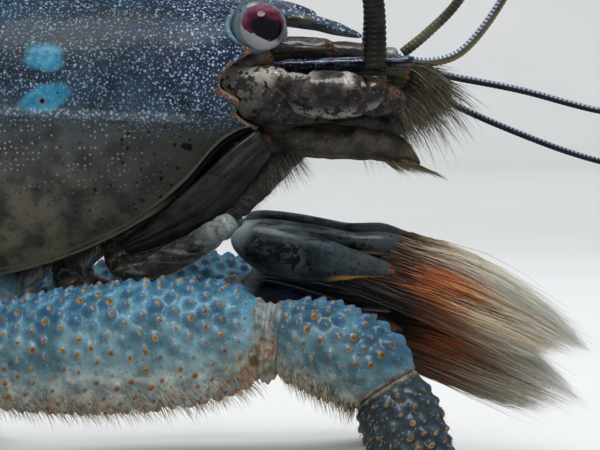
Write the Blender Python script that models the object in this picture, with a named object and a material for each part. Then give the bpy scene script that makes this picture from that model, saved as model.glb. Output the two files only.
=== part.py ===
"""Life-size African fan shrimp, standing on its walking legs with its fans held forward.

The animal faces +X and its left side is +Y. Sizes are in millimetres in the body frame, whose X
is 0 at the eyes and whose Z is 0 at the floor, and become metres when a mesh is made.
"""

import math
import random

import bmesh
import bpy
import numpy as np

MM = 0.001
GAP = 0.3
OBJECT_NAME = "fan_shrimp"
SIDES = {"right": -1, "left": 1}
FLOOR_BLOCK = ((-150, -80, -20), (80, 80, 0))
SOLVER = "MANIFOLD"  # leaves no slivers where the cut faces nearly touch
SHARP_ANGLE = math.radians(40)

# Carapace: side outline from its hind edge to its front, and half its width.
CARAPACE_X = (-35.0, -33.0, -28.0, -22.0, -16.0, -10.7, -6.2, -3.1, -0.5, 1.8)
CARAPACE_TOP = (37.0, 38.4, 39.9, 40.5, 40.4, 40.0, 39.5, 39.1, 38.7, 38.2)
CARAPACE_BOTTOM = (19.6, 17.8, 16.7, 16.8, 18.1, 20.4, 23.4, 26.9, 28.3, 28.6)
CARAPACE_HALF_WIDTH = (7.5, 8.4, 9.3, 9.7, 9.5, 8.9, 8.0, 7.2, 6.5, 5.9)
# Share of its height at which each point of the outline sits, and the front margin there:
# pterygostomial corner, antennal notch, point under the eye, orbit, root of the rostrum.
CARAPACE_LEVELS = (
    0.0, 0.08, 0.16, 0.24, 0.31, 0.38, 0.46, 0.53, 0.585, 0.64, 0.73, 0.82, 0.89, 0.95, 1.0,
)
CARAPACE_FRONT_X = (
    -0.3, -1.3, -1.9, -1.7, -2.4, -3.1, -2.9, -1.8, -0.7, -1.5, -2.3, -2.2, -1.2, 0.5, 1.5,
)
CARAPACE_HIND_X = -35.0
CARAPACE_RINGS = 14
WIDEST_LEVEL = 0.42
EDGE_SHARE = 0.66  # width at the lower edge over the greatest width
CHANNEL_LEVELS = 4  # outline points below the roof of the channel that holds the thorax
CHANNEL_SHARES = (0.80, 0.74, 0.62, 0.40)

# Abdomen: its middle line starts behind the carapace and droops to the floor.
ABDOMEN_START = (-35.3, 28.4)
ABDOMEN_LENGTHS = (5.2, 8.6, 8.4, 7.2, 6.4, 9.2)
DROOP_S = (0.0, 8.0, 18.0, 28.0, 36.0, 45.0, 60.0)
DROOP_DEGREES = (1.0, 11.0, 30.0, 44.0, 45.0, 34.0, 16.0)
# Along the middle line: height above it, depth below it and half the width.
ABDOMEN_S = (0.0, 6.0, 14.0, 22.0, 29.0, 35.5, 45.0)
ABDOMEN_UP = (8.2, 8.7, 8.6, 7.9, 6.8, 5.7, 3.9)
ABDOMEN_DOWN = (8.6, 9.6, 9.6, 8.6, 7.4, 6.0, 3.0)
ABDOMEN_HALF_WIDTH = (7.3, 7.7, 7.6, 6.9, 5.9, 5.0, 3.4)
ABDOMEN_LEVELS = (0.0, 0.1, 0.22, 0.36, 0.52, 0.68, 0.82, 0.93, 1.0)
ABDOMEN_CHANNEL_LEVELS = 3
ABDOMEN_CHANNEL_SHARES = (0.80, 0.72, 0.5)
# How far each boundary between segments moves at the lower edge. The second side plate overlaps
# both of its neighbours, as it does in true shrimps.
PLEURON_SHIFT = (0.0, -2.6, 2.8, 2.0, 1.8, 1.4, 0.0)
ABDOMEN_GAP = 0.36  # along the middle line; the slanting faces are then about 0.3 mm apart
TELSON_LENGTH = 13.0

EYE_CENTRE = (0.0, 5.5, 36.2)
EYE_RADIUS = 1.75

SHELL_BLUE = (0.16, 0.20, 0.24, 1)
LEG_BLUE = (0.14, 0.27, 0.36, 1)
HORN_BROWN = (0.12, 0.08, 0.06, 1)
FLAGELLUM_DARK = (0.05, 0.06, 0.08, 1)
BRUSH_CREAM = (0.55, 0.42, 0.30, 1)
EYE_RED = (0.10, 0.01, 0.02, 1)


def smooth(x, xs, ys):
    """Cubic curve through the points xs, ys, level with its neighbours at each of them."""
    xs = np.asarray(xs, float)
    ys = np.asarray(ys, float)
    slopes = np.gradient(ys, xs)
    x = np.clip(x, xs[0], xs[-1])
    i = np.clip(np.searchsorted(xs, x, side="right") - 1, 0, len(xs) - 2)
    width = xs[i + 1] - xs[i]
    t = (x - xs[i]) / width
    return (
        ys[i] * (1 + 2 * t) * (1 - t) ** 2
        + slopes[i] * width * t * (1 - t) ** 2
        + ys[i + 1] * t * t * (3 - 2 * t)
        + slopes[i + 1] * width * t * t * (t - 1)
    )


def spine_at(rows, t):
    """Catmull-Rom curve through rows of any width, at the row number t."""
    rows = np.asarray(rows, float)
    i = int(min(max(math.floor(t), 0), len(rows) - 2))
    f = t - i
    before = rows[i - 1] if i > 0 else 2 * rows[i] - rows[i + 1]
    after = rows[i + 2] if i + 2 < len(rows) else 2 * rows[i + 1] - rows[i]
    a, b = rows[i], rows[i + 1]
    return 0.5 * (
        2 * a
        + (b - before) * f
        + (2 * before - 5 * a + 4 * b - after) * f * f
        + (3 * a - before - 3 * b + after) * f * f * f
    )


def spine_samples(rows, first, last, count, trim=(0.0, 0.0)):
    """Evenly spaced rows and tangents of the curve from row first to row last, less trim at each end.

    The end rings keep the direction of the joint itself, so that the two sides of a joint are parallel.
    """
    dense_t = np.linspace(first, last, 40 * max(1, math.ceil(last - first)) + 1)
    dense = np.array([spine_at(rows, t) for t in dense_t])
    steps = np.linalg.norm(np.diff(dense[:, :3], axis=0), axis=1)
    along = np.concatenate([[0.0], np.cumsum(steps)])
    wanted = np.interp(np.linspace(trim[0], along[-1] - trim[1], count), along, dense_t)
    values = np.array([spine_at(rows, t) for t in wanted])
    step = 0.02
    wanted[0], wanted[-1] = first, last
    tangents = np.array([spine_at(rows, t + step)[:3] - spine_at(rows, t - step)[:3] for t in wanted])
    return values, tangents / np.linalg.norm(tangents, axis=1)[:, None]


def unit(v):
    v = np.asarray(v, float)
    return v / np.linalg.norm(v)


def section_axes(tangent, side):
    """Two directions square to a tangent: the one nearest to side, and the other."""
    across = unit(np.asarray(side, float) - np.dot(side, tangent) * tangent)
    return across, np.cross(tangent, across)


def sweep(rows, side, sides, count, first=0, last=None, trim=(0.0, 0.0), staggered=False):
    """Rings of an elliptical limb. Each row holds x, y, z, half its thickness along side, half its depth."""
    last = len(rows) - 1 if last is None else last
    values, tangents = spine_samples(rows, first, last, count, trim)
    rings = []
    for i, (value, tangent) in enumerate(zip(values, tangents)):
        across, deep = section_axes(tangent, side)
        shift = 0.5 * (i % 2) if staggered else 0.0
        angles = 2 * math.pi * (np.arange(sides) + shift) / sides
        rings.append(
            value[:3]
            + np.outer(np.cos(angles) * value[3], across)
            + np.outer(np.sin(angles) * value[4], deep)
        )
    return rings


def mesh_from(points, faces):
    """A closed mesh in metres, triangulated, with its faces pointing out."""
    bm = bmesh.new()
    verts = [bm.verts.new(np.asarray(p, float) * MM) for p in points]
    for face in faces:
        bm.faces.new([verts[k] for k in face])
    bmesh.ops.recalc_face_normals(bm, faces=bm.faces)
    bmesh.ops.triangulate(bm, faces=bm.faces)
    mesh = bpy.data.meshes.new("piece")
    bm.to_mesh(mesh)
    bm.free()
    return mesh


def loft(rings, staggered=False):
    """A closed mesh through rings of equal count. A ring of one point is a tip, and other ends are capped."""
    points = [p for ring in rings for p in ring]
    starts = np.concatenate([[0], np.cumsum([len(ring) for ring in rings])])
    faces = []
    for i in range(len(rings) - 1):
        near, far = len(rings[i]), len(rings[i + 1])
        a0, b0 = int(starts[i]), int(starts[i + 1])
        count = max(near, far)
        for j in range(count):
            k = (j + 1) % count
            if near == 1:
                faces.append((a0, b0 + k, b0 + j))
            elif far == 1:
                faces.append((a0 + j, a0 + k, b0))
            elif staggered and i % 2:
                faces += [(a0 + j, b0 + k, b0 + j), (a0 + j, a0 + k, b0 + k)]
            else:
                faces += [(a0 + j, a0 + k, b0 + j), (a0 + k, b0 + k, b0 + j)]
    for ring, start in ((rings[0], 0), (rings[-1], int(starts[-2]))):
        if len(ring) > 1:
            faces.append(tuple(range(start, start + len(ring))))
    return mesh_from(points, faces)


def plate(grid, thickness):
    """A thin closed blade about a grid of middle points, both faces split into triangles alike."""
    grid = np.asarray(grid, float)
    thickness = np.broadcast_to(np.asarray(thickness, float), grid.shape[:2])
    normals = np.cross(np.gradient(grid, axis=0), np.gradient(grid, axis=1))
    normals /= np.linalg.norm(normals, axis=2)[..., None]
    offset = normals * thickness[..., None] / 2
    rows, columns = grid.shape[:2]
    points = np.concatenate([(grid + offset).reshape(-1, 3), (grid - offset).reshape(-1, 3)])
    under = rows * columns
    faces = []
    for i in range(rows - 1):
        for j in range(columns - 1):
            a = i * columns + j
            corners = (a, a + 1, a + columns + 1, a + columns)
            for triangle in ((0, 1, 2), (0, 2, 3)):
                top = tuple(corners[k] for k in triangle)
                faces += [top, tuple(k + under for k in reversed(top))]
    rim = [j for j in range(columns)]
    rim += [i * columns + columns - 1 for i in range(1, rows)]
    rim += [(rows - 1) * columns + j for j in range(columns - 2, -1, -1)]
    rim += [i * columns for i in range(rows - 2, 0, -1)]
    for a, b in zip(rim, rim[1:] + rim[:1]):
        faces.append((a, b, b + under, a + under))
    return mesh_from(points, faces)


def lock(path_points, width, thickness, flat_along, rings=5):
    """A flat tapered lock of bristles along a curve. Its root is full width and its tip a point."""
    values, tangents = spine_samples(path_points, 0, len(path_points) - 1, rings)
    made = []
    for i, (value, tangent) in enumerate(zip(values, tangents)):
        share = i / (rings - 1)
        if i == rings - 1:
            made.append([value])
            continue
        across, thin = section_axes(tangent, flat_along)
        half_width = 0.5 * width * (1 - share) ** 0.55
        half_thick = 0.5 * thickness * (1 - 0.75 * share)
        made.append(
            [
                value + across * half_width,
                value + thin * half_thick,
                value - across * half_width,
                value - thin * half_thick,
            ]
        )
    return loft(made)


def helper(mesh):
    """A loose object that takes part in a join or a cut."""
    return bpy.data.objects.new("helper", mesh)


def boolean(mesh, others, operation):
    """The mesh joined with or cut by other closed meshes, all at once, less any loose scraps."""
    target = helper(mesh)
    bpy.context.scene.collection.objects.link(target)
    group = bpy.data.collections.new("operands")
    bpy.context.scene.collection.children.link(group)
    operands = [helper(other) for other in others]
    for operand in operands:
        group.objects.link(operand)
    modifier = target.modifiers.new("join", "BOOLEAN")
    modifier.operation = operation
    modifier.operand_type = "COLLECTION"
    modifier.collection = group
    modifier.solver = SOLVER
    bpy.context.view_layer.update()
    graph = bpy.context.evaluated_depsgraph_get()
    result = bpy.data.meshes.new_from_object(target.evaluated_get(graph))
    for made in operands + [target]:
        bpy.data.objects.remove(made)
    bpy.data.collections.remove(group)
    return largest_surface(result)


def largest_surface(mesh):
    """Keeps the closed surface of greatest volume, triangulated. Faces belong together by their edges."""
    bm = bmesh.new()
    bm.from_mesh(mesh)
    bmesh.ops.triangulate(bm, faces=bm.faces)
    seen, best, best_volume = set(), None, -1.0
    for start in bm.faces:
        if start in seen:
            continue
        island, stack = {start}, [start]
        while stack:
            for edge in stack.pop().edges:
                for face in edge.link_faces:
                    if face not in island:
                        island.add(face)
                        stack.append(face)
        seen |= island
        volume = sum(f.verts[0].co.dot(f.verts[1].co.cross(f.verts[2].co)) for f in island) / 6
        if volume > best_volume:
            best, best_volume = island, volume
    bmesh.ops.delete(bm, geom=[f for f in bm.faces if f not in best], context="FACES")
    bm.to_mesh(mesh)
    bm.free()
    return mesh


def grown(mesh, by=GAP):
    """A copy of a mesh with its surface moved out by a distance in millimetres."""
    bm = bmesh.new()
    bm.from_mesh(mesh)
    bm.normal_update()
    moves = [v.normal * v.calc_shell_factor() * by * MM for v in bm.verts]
    for v, move in zip(bm.verts, moves):
        v.co += move
    copy = bpy.data.meshes.new("grown")
    bm.to_mesh(copy)
    bm.free()
    return copy


def joined(pieces):
    return boolean(pieces[0], pieces[1:], "UNION")


def moved(mesh, shift):
    copy = mesh.copy()
    for v in copy.vertices:
        v.co = np.array(v.co) + np.array(shift, float) * MM
    return copy


def cut_clear(mesh, neighbours, sharp=()):
    """The mesh without what lies in its neighbours or within the gap of them.

    A sharp neighbour, whose edges grow too little along their normals, also cuts with copies of
    itself moved forwards and sideways.
    """
    cutters = [grown(n) for n in list(neighbours) + list(sharp)]
    for n in sharp:
        cutters += [moved(n, (GAP, y, z)) for y in (-GAP, GAP) for z in (-GAP, GAP)]
    return boolean(mesh, cutters, "DIFFERENCE")


def box(low, high):
    """A block between two corners."""
    bm = bmesh.new()
    bmesh.ops.create_cube(bm, size=1.0)
    low, high = np.array(low, float), np.array(high, float)
    for v in bm.verts:
        v.co = ((low + high) / 2 + np.array(v.co) * (high - low)) * MM
    bmesh.ops.triangulate(bm, faces=bm.faces)
    mesh = bpy.data.meshes.new("box")
    bm.to_mesh(mesh)
    bm.free()
    return mesh


def stood_on_floor(mesh):
    """Cuts away what lies below the floor, which leaves a small flat sole."""
    return boolean(mesh, [box(*FLOOR_BLOCK)], "DIFFERENCE")


def material(name, colour, roughness):
    found = bpy.data.materials.get(name) or bpy.data.materials.new(name)
    found.use_nodes = True
    shader = found.node_tree.nodes["Principled BSDF"]
    shader.inputs["Base Color"].default_value = colour
    shader.inputs["Roughness"].default_value = roughness
    shader.inputs["Metallic"].default_value = 0.0
    return found


class Body:
    """The named nodes, kept in one collection under one empty."""

    def __init__(self):
        self.collection = bpy.data.collections.new(OBJECT_NAME)
        bpy.context.scene.collection.children.link(self.collection)
        self.root = bpy.data.objects.new("body_frame", None)
        self.collection.objects.link(self.root)
        self.meshes = {}

    def add(self, name, mesh, colour, root_at=(0, 0, 0), roughness=0.35):
        """Adds a node whose origin is at root_at, where it grows from the body."""
        self.meshes[name] = mesh.copy()
        mesh.name = name
        shift = np.array(root_at, float) * MM
        for v in mesh.vertices:
            v.co = np.array(v.co) - shift
        for polygon in mesh.polygons:
            polygon.use_smooth = True
        mesh.set_sharp_from_angle(angle=SHARP_ANGLE)
        mesh.materials.clear()
        mesh.materials.append(material(f"{name.split('_')[0]}_finish", colour, roughness))
        obj = bpy.data.objects.new(name, mesh)
        obj.location = shift
        obj.parent = self.root
        self.collection.objects.link(obj)

    def of(self, name):
        """The node's mesh in the body frame, for a neighbour to be cut clear of."""
        return self.meshes[name]

    def stand_at_origin(self):
        """Moves the body so that the middle of its outer box is over the origin."""
        bounds = np.array([v.co[:] for mesh in self.meshes.values() for v in mesh.vertices])
        middle = (bounds.min(axis=0) + bounds.max(axis=0)) / 2
        self.root.location = (-middle[0], -middle[1], 0.0)


def hooped(levels, channel, outer, inner, rings):
    """A hull with a channel along its underside, closed at both ends.

    outer and inner give a point on the left for a ring number and a level. The channel's walls have
    a point at each level below its roof, so both ends close in strips that keep to the levels.
    """
    points, index = [], {}

    def put(key, point):
        index[key] = len(points)
        points.append(point)

    top = len(levels) - 1
    for i in range(rings):
        for sign in (1, -1):
            mirror = np.array([1, sign, 1])
            for k in range(top):
                put((i, sign, "out", k), outer(i, levels[k]) * mirror)
            for k in range(channel):
                put((i, sign, "in", k), inner(i, levels[k], k) * mirror)
        put((i, 0, "out", top), outer(i, 1.0))

    def at(i, sign, kind, k):
        return index[(i, 0, kind, k)] if kind == "out" and k == top else index[(i, sign, kind, k)]

    faces = []
    loop = [(1, "out", k) for k in range(top)] + [(0, "out", top)]
    loop += [(-1, "out", k) for k in range(top - 1, -1, -1)]
    loop += [(-1, "in", k) for k in range(channel)] + [(1, "in", k) for k in range(channel - 1, -1, -1)]
    for i in range(rings - 1):
        for (s0, kind0, k0), (s1, kind1, k1) in zip(loop, loop[1:] + loop[:1]):
            a, b = at(i, s0, kind0, k0), at(i, s1, kind1, k1)
            c, d = at(i + 1, s1, kind1, k1), at(i + 1, s0, kind0, k0)
            faces.append((a, b, c, d))
    roof = max(channel - 1, 0)
    for i in (0, rings - 1):
        for k in range(channel - 1):
            for sign in (1, -1):
                corners = (("out", k), ("out", k + 1), ("in", k + 1), ("in", k))
                faces.append(tuple(at(i, sign, kind, row) for kind, row in corners))
        kinds = ((1, "out"), (-1, "out"))
        if channel:
            kinds = ((1, "out"), (1, "in"), (-1, "in"), (-1, "out"))
        lower = [at(i, sign, kind, roof) for sign, kind in kinds]
        faces.append(tuple(lower + [at(i, -1, "out", roof + 1), at(i, 1, "out", roof + 1)]))
        for k in range(roof + 1, top):
            strip = [at(i, 1, "out", k), at(i, -1, "out", k), at(i, -1, "out", k + 1)]
            if k + 1 < top:
                strip.append(at(i, 1, "out", k + 1))
            faces.append(tuple(strip))
    return mesh_from(points, faces)


def hull_width(level, widest=WIDEST_LEVEL, edge=EDGE_SHARE):
    """Share of the greatest half width at a level of a hoop, 0 at its lower edge and 1 at its top."""
    if level >= widest:
        return max(0.0, 1 - ((level - widest) / (1 - widest)) ** 2.15) ** 0.5
    return 1 - (1 - edge) * ((widest - level) / widest) ** 2


def carapace_point(along, level):
    """A point on the left half of the carapace: along is 0 at its hind edge and 1 at its front margin."""
    front = smooth(level, CARAPACE_LEVELS, CARAPACE_FRONT_X)
    x = CARAPACE_HIND_X + along * (front - CARAPACE_HIND_X)
    top = smooth(x, CARAPACE_X, CARAPACE_TOP)
    bottom = smooth(x, CARAPACE_X, CARAPACE_BOTTOM)
    y = smooth(x, CARAPACE_X, CARAPACE_HALF_WIDTH) * hull_width(level)
    return np.array([x, y, bottom + level * (top - bottom)])


def channel_point(along, level, k):
    """A point on the left wall of the channel under the carapace."""
    point = carapace_point(along, level)
    point[1] *= CHANNEL_SHARES[k]
    return point


def ring_share(i, rings=CARAPACE_RINGS):
    """Where ring i of the carapace lies, with the rings closer together towards the front."""
    t = i / (rings - 1)
    return 1 - (1 - t) ** 1.25


def make_carapace(body):
    mesh = hooped(
        CARAPACE_LEVELS,
        CHANNEL_LEVELS,
        lambda i, level: carapace_point(ring_share(i), level),
        lambda i, level, k: channel_point(ring_share(i), level, k),
        CARAPACE_RINGS,
    )
    body.add("carapace", mesh, SHELL_BLUE, (CARAPACE_HIND_X, 0, 28))


def make_thorax(body):
    """The breast plate that fills the channel and carries the legs."""
    first, last, count = 0.01, 0.86, 12
    rings = []
    for i in range(count):
        along = first + (last - first) * i / (count - 1)
        left = []
        for k in range(CHANNEL_LEVELS):
            wall = channel_point(along, CARAPACE_LEVELS[k], k)
            roof_drop = GAP if k == CHANNEL_LEVELS - 1 else 0.0
            left.append(wall - np.array([0, GAP + 0.12, roof_drop + 0.05]))
        edge = left[0]
        left.insert(0, np.array([edge[0], edge[1] * 0.62, edge[2] - 0.9]))
        right = [p * np.array([1, -1, 1]) for p in reversed(left)]
        rings.append(left + right)
    body.add("thorax", loft(rings), HORN_BROWN, (-20, 0, 18))


# Rows of a limb, from its root to its tip: x, y, z, half its thickness and half its depth.
ROSTRUM_BLADE = [
    (-2.5, 0, 37.6, 2.0, 1.0), (0.8, 0, 37.5, 1.95, 0.95), (2.4, 0, 37.1, 1.75, 0.75),
    (4.0, 0, 36.7, 1.15, 0.55), (6.0, 0, 36.15, 0.65, 0.42), (7.8, 0, 35.6, 0.12, 0.12),
]
ROSTRUM_CREST = [(-1.5, 0, 38.2, 0.5, 0.6), (1.8, 0, 37.85, 0.42, 0.62), (4.2, 0, 37.1, 0.25, 0.5)]
ROSTRUM_TOOTH = [(1.6, 1.2, 37.2, 0.5, 0.35), (3.0, 1.9, 37.0, 0.38, 0.3), (4.5, 2.15, 36.7, 0.06, 0.06)]


def make_rostrum(body):
    """Beak between the eyes: a keeled blade with a short crest that ends in a step."""
    blade = loft(sweep(ROSTRUM_BLADE, (0, 1, 0), 8, 8))
    crest = loft(sweep(ROSTRUM_CREST, (0, 1, 0), 6, 4))
    teeth = [loft(sweep(mirrored(ROSTRUM_TOOTH, sign), (0, 1, 0), 5, 4)) for sign in SIDES.values()]
    mesh = cut_clear(joined([blade, crest] + teeth), [], [body.of("carapace")])
    body.add("rostrum", mesh, SHELL_BLUE, (1.5, 0, 37.2))


HEAD_BLOCK = [
    (-4.5, 0, 33.4, 4.7, 3.2), (-1.0, 0, 33.6, 4.6, 3.1), (0.6, 0, 33.9, 3.9, 2.5), (1.5, 0, 34.1, 3.2, 2.0),
]
EYESTALK_ROOT = (-0.6, 2.6, 35.5)
STALK_REACH = 0.55  # how deep the stalk goes into the eye before it is cut clear, in eye radii


def make_head(body):
    """The block in the opening of the carapace, with the two eyestalks."""
    block = loft(sweep(HEAD_BLOCK, (0, 1, 0), 10, 4))
    stalks = []
    for sign in SIDES.values():
        inner = np.array(EYESTALK_ROOT) * (1, sign, 1)
        outer = np.array(EYE_CENTRE) * (1, sign, 1)
        aim = unit(outer - inner)
        stem_end = outer - aim * EYE_RADIUS * STALK_REACH
        rows = [(*inner, 1.0, 1.0), (*(inner + stem_end) / 2, 1.05, 1.05), (*stem_end, 1.3, 1.3)]
        stalks.append(loft(sweep(rows, (1, 0, 0), 8, 3)))
    mesh = joined([block] + stalks)
    mesh = cut_clear(mesh, [body.of("rostrum")], [body.of("carapace")])
    for side, sign in SIDES.items():
        ball = bmesh.new()
        bmesh.ops.create_uvsphere(ball, u_segments=11, v_segments=7, radius=EYE_RADIUS * MM)
        centre = np.array(EYE_CENTRE) * (1, sign, 1) * MM
        for v in ball.verts:
            v.co = np.array(v.co) + centre
        eye = bpy.data.meshes.new("eye")
        bmesh.ops.triangulate(ball, faces=ball.faces)
        ball.to_mesh(eye)
        ball.free()
        eye = cut_clear(eye, [body.of("carapace")])
        mesh = cut_clear(mesh, [eye])
        body.add(f"eye_{side}", eye, EYE_RED, np.array(EYE_CENTRE) * (1, sign, 1), 0.08)
    body.add("head", mesh, HORN_BROWN, (0, 0, 34))


def mirrored(rows, sign):
    """Rows given for the left side, put on the side of that sign."""
    made = np.array(rows, float)
    made[:, 1] *= sign
    return made


def make_antennule(body, side, sign):
    """Stalk of three segments with a pointed scale at its root, and its two feelers."""
    rows = [
        (0.0, 2.3, 34.4, 1.1, 1.0),
        (2.2, 2.6, 34.6, 1.1, 1.0),
        (5.0, 2.8, 34.5, 0.95, 0.9),
        (5.6, 2.8, 34.45, 0.8, 0.8),
        (7.9, 2.9, 34.2, 0.85, 0.85),
        (8.5, 2.9, 34.1, 0.72, 0.75),
        (10.6, 3.0, 33.85, 0.78, 0.85),
    ]
    stalk = loft(sweep(mirrored(rows, sign), (0, 1, 0), 7, 10))
    thorn = [(1.0, 3.3, 34.5, 0.5, 0.4), (3.4, 3.95, 34.6, 0.35, 0.3), (5.6, 4.05, 34.5, 0.05, 0.05)]
    mesh = joined([stalk, loft(sweep(mirrored(thorn, sign), (0, 1, 0), 5, 3))])
    mesh = cut_clear(mesh, [body.of("head"), body.of("carapace"), body.of("rostrum"), body.of(f"eye_{side}")])
    body.add(f"antennule_{side}", mesh, HORN_BROWN, mirrored([(1.6, 2.5, 34.5)], sign)[0])


# Feelers of the antennules as the picture's side shows them: x, y, z and radius.
ANTENNULE_FEELERS = {
    ("right", "outer"): [
        (10.9, -3.2, 34.25, 0.40), (12.9, -3.3, 35.9, 0.38), (15.2, -3.6, 38.3, 0.36),
        (18.2, -4.6, 43.0, 0.32), (19.8, -6.4, 49.0, 0.27), (19.6, -9.0, 55.0, 0.2),
    ],
    ("left", "outer"): [
        (10.9, 3.2, 34.05, 0.40), (13.4, 3.4, 33.75, 0.38), (16.0, 3.7, 34.6, 0.36),
        (18.6, 4.2, 37.6, 0.35), (20.8, 5.0, 41.6, 0.32), (22.8, 6.8, 47.4, 0.27), (23.4, 9.2, 53.6, 0.2),
    ],
    ("right", "inner"): [
        (10.9, -2.75, 33.35, 0.30), (14.2, -2.9, 32.55, 0.29), (20.0, -3.4, 31.4, 0.27),
        (26.0, -4.4, 29.8, 0.25), (33.0, -6.4, 28.6, 0.22), (41.0, -9.6, 28.6, 0.18),
    ],
    ("left", "inner"): [
        (10.9, 2.75, 33.25, 0.30), (14.8, 2.9, 30.6, 0.29), (20.6, 3.3, 28.0, 0.27),
        (26.6, 4.2, 25.9, 0.25), (33.0, 6.0, 24.6, 0.22), (40.0, 9.0, 24.4, 0.18),
    ],
}
FEELER_SIDES = 5


def feeler_rings(rows, count, first=0, last=None, trim=(0.0, 0.0)):
    """Rings of a round feeler. Its rows hold x, y, z and radius."""
    rows = [(*row, row[3]) for row in rows]
    return sweep(rows, (0.1, 1, 0.2), FEELER_SIDES, count, first, last, trim)


def make_antennule_feelers(body, side):
    for kind in ("outer", "inner"):
        rows = ANTENNULE_FEELERS[(side, kind)]
        mesh = loft(feeler_rings(rows, 14))
        mesh = cut_clear(mesh, [body.of(f"antennule_{side}")])
        body.add(f"antennule_{side}_{kind}_feeler", mesh, FLAGELLUM_DARK, rows[0][:3])


SCALE_ROOT = (0.9, 4.75, 33.55)
SCALE_LENGTH, SCALE_WIDTH = 11.2, 4.9
SCALE_SLOPE = math.radians(50)  # how far its inner edge hangs below its rib
SCALE_RISE = (0.25, 0.35)  # how far the rib moves out and up on its way
FRINGE_LOCKS = 7
FRINGE_WIDTH, FRINGE_THICKNESS = 1.3, 0.52
FRINGE_INSET = (0.8, 0.0, 0.0)  # how far behind its root a lock starts
FRINGE_SEED = {"right": 11, "left": 12}


def antenna_scale_point(along, across):
    """A point on the middle of the left antennal scale: across is 0 at its rib and 1 at its inner edge."""
    shape = math.sin(math.pi * min(1.0, 0.16 + 0.62 * along)) ** 0.7
    reach = SCALE_LENGTH * along * (1 - 0.16 * abs(2 * across - 0.55) ** 2.2)
    width = SCALE_WIDTH * shape * across
    sag = 0.5 * math.sin(math.pi * across)
    out = SCALE_RISE[0] * along - width * math.cos(SCALE_SLOPE)
    up = SCALE_RISE[1] * along - width * math.sin(SCALE_SLOPE) - sag
    return np.array(SCALE_ROOT) + (reach, out, up)


def scale_fringe(side, sign):
    """Locks of bristles from the end of the antennal scale, drooping forwards."""
    rng = random.Random(FRINGE_SEED[side])
    locks = []
    for i in range(FRINGE_LOCKS):
        across = 0.06 + 0.92 * i / (FRINGE_LOCKS - 1)
        root = antenna_scale_point(0.93, across)
        reach = 4.6 + 2.6 * across + rng.uniform(-0.6, 0.6)
        fall = 0.55 + 0.9 * across + rng.uniform(-0.1, 0.1)
        ahead = unit((1, 0.04, -0.35 * fall))
        middle = root + ahead * reach * 0.5
        tip = root + ahead * reach + np.array([-0.5, 0.1, -1.3 * fall])
        path = mirrored([root - FRINGE_INSET, root, middle, tip], sign)
        locks.append(lock(path, FRINGE_WIDTH, FRINGE_THICKNESS, (0, sign * 0.6, 0.8), 4))
    return locks


ANTENNA_STALK = [
    (-2.6, 4.3, 32.3, 0.9, 0.8), (0.3, 5.4, 32.4, 0.95, 0.85), (2.2, 5.9, 31.7, 1.1, 1.1),
    (3.4, 6.2, 31.1, 1.5, 1.7), (5.6, 6.5, 31.0, 1.6, 1.85), (7.4, 6.6, 31.0, 1.45, 1.6),
    (8.5, 6.6, 31.4, 1.15, 1.15), (8.65, 6.6, 32.6, 0.95, 0.95),
]
# The thick feeler: x, y, z and radius. It is divided at the row ANTENNA_SPLIT.
ANTENNA_FEELER = {
    "right": [
        (8.65, -6.6, 32.95, 0.88), (8.45, -6.7, 38.5, 0.82), (6.9, -8.0, 46.0, 0.72),
        (1.6, -11.8, 53.6, 0.62), (-7.5, -17.2, 58.2, 0.5), (-19.0, -23.2, 58.6, 0.38),
        (-30.0, -28.4, 54.6, 0.26),
    ],
    "left": [
        (8.65, 6.6, 32.95, 0.88), (9.0, 6.9, 38.5, 0.82), (8.6, 9.0, 46.0, 0.72),
        (4.6, 14.0, 53.0, 0.62), (-3.6, 20.4, 56.6, 0.5), (-14.6, 26.6, 56.0, 0.38),
        (-25.6, 31.6, 51.6, 0.26),
    ],
}
ANTENNA_SPLIT = 3


def make_antenna(body, side, sign):
    """Stout stalk, leaf-shaped scale with its fringe, and the thick ringed feeler in two lengths."""
    stalk = loft(sweep(mirrored(ANTENNA_STALK, sign), (0, 1, 0), 8, 11))
    stalk = cut_clear(stalk, [body.of("head"), body.of(f"eye_{side}")], [body.of("carapace")])
    body.add(f"antenna_{side}_stalk", stalk, HORN_BROWN, mirrored([(0, 5.2, 32.3)], sign)[0])

    along = np.linspace(0.0, 1.0, 5)
    across = np.linspace(0.0, 1.0, 4)
    grid = [[antenna_scale_point(a, c) * (1, sign, 1) for c in across] for a in along]
    rib, blade = 0.95, 0.6
    thickness = [[rib if c == 0 else blade for c in across] for a in along]
    mesh = joined([plate(grid, thickness)] + scale_fringe(side, sign))
    near = ["carapace", "head", f"eye_{side}", f"antenna_{side}_stalk"]
    near += [f"antennule_{side}", f"antennule_{side}_inner_feeler"]
    mesh = cut_clear(mesh, [body.of(name) for name in near])
    body.add(f"antenna_{side}_scale", mesh, HORN_BROWN, mirrored([(0.9, 4.7, 33.5)], sign)[0])

    rows = ANTENNA_FEELER[side]
    root = loft(feeler_rings(rows, 10, 0, ANTENNA_SPLIT, (0.0, GAP / 2)))
    root = cut_clear(root, [body.of(f"antenna_{side}_stalk")])
    body.add(f"antenna_{side}_feeler_root", root, FLAGELLUM_DARK, rows[0][:3])
    tip = loft(feeler_rings(rows, 12, ANTENNA_SPLIT, None, (GAP / 2, 0.0)))
    body.add(f"antenna_{side}_feeler_tip", tip, FLAGELLUM_DARK, rows[ANTENNA_SPLIT][:3])


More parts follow.
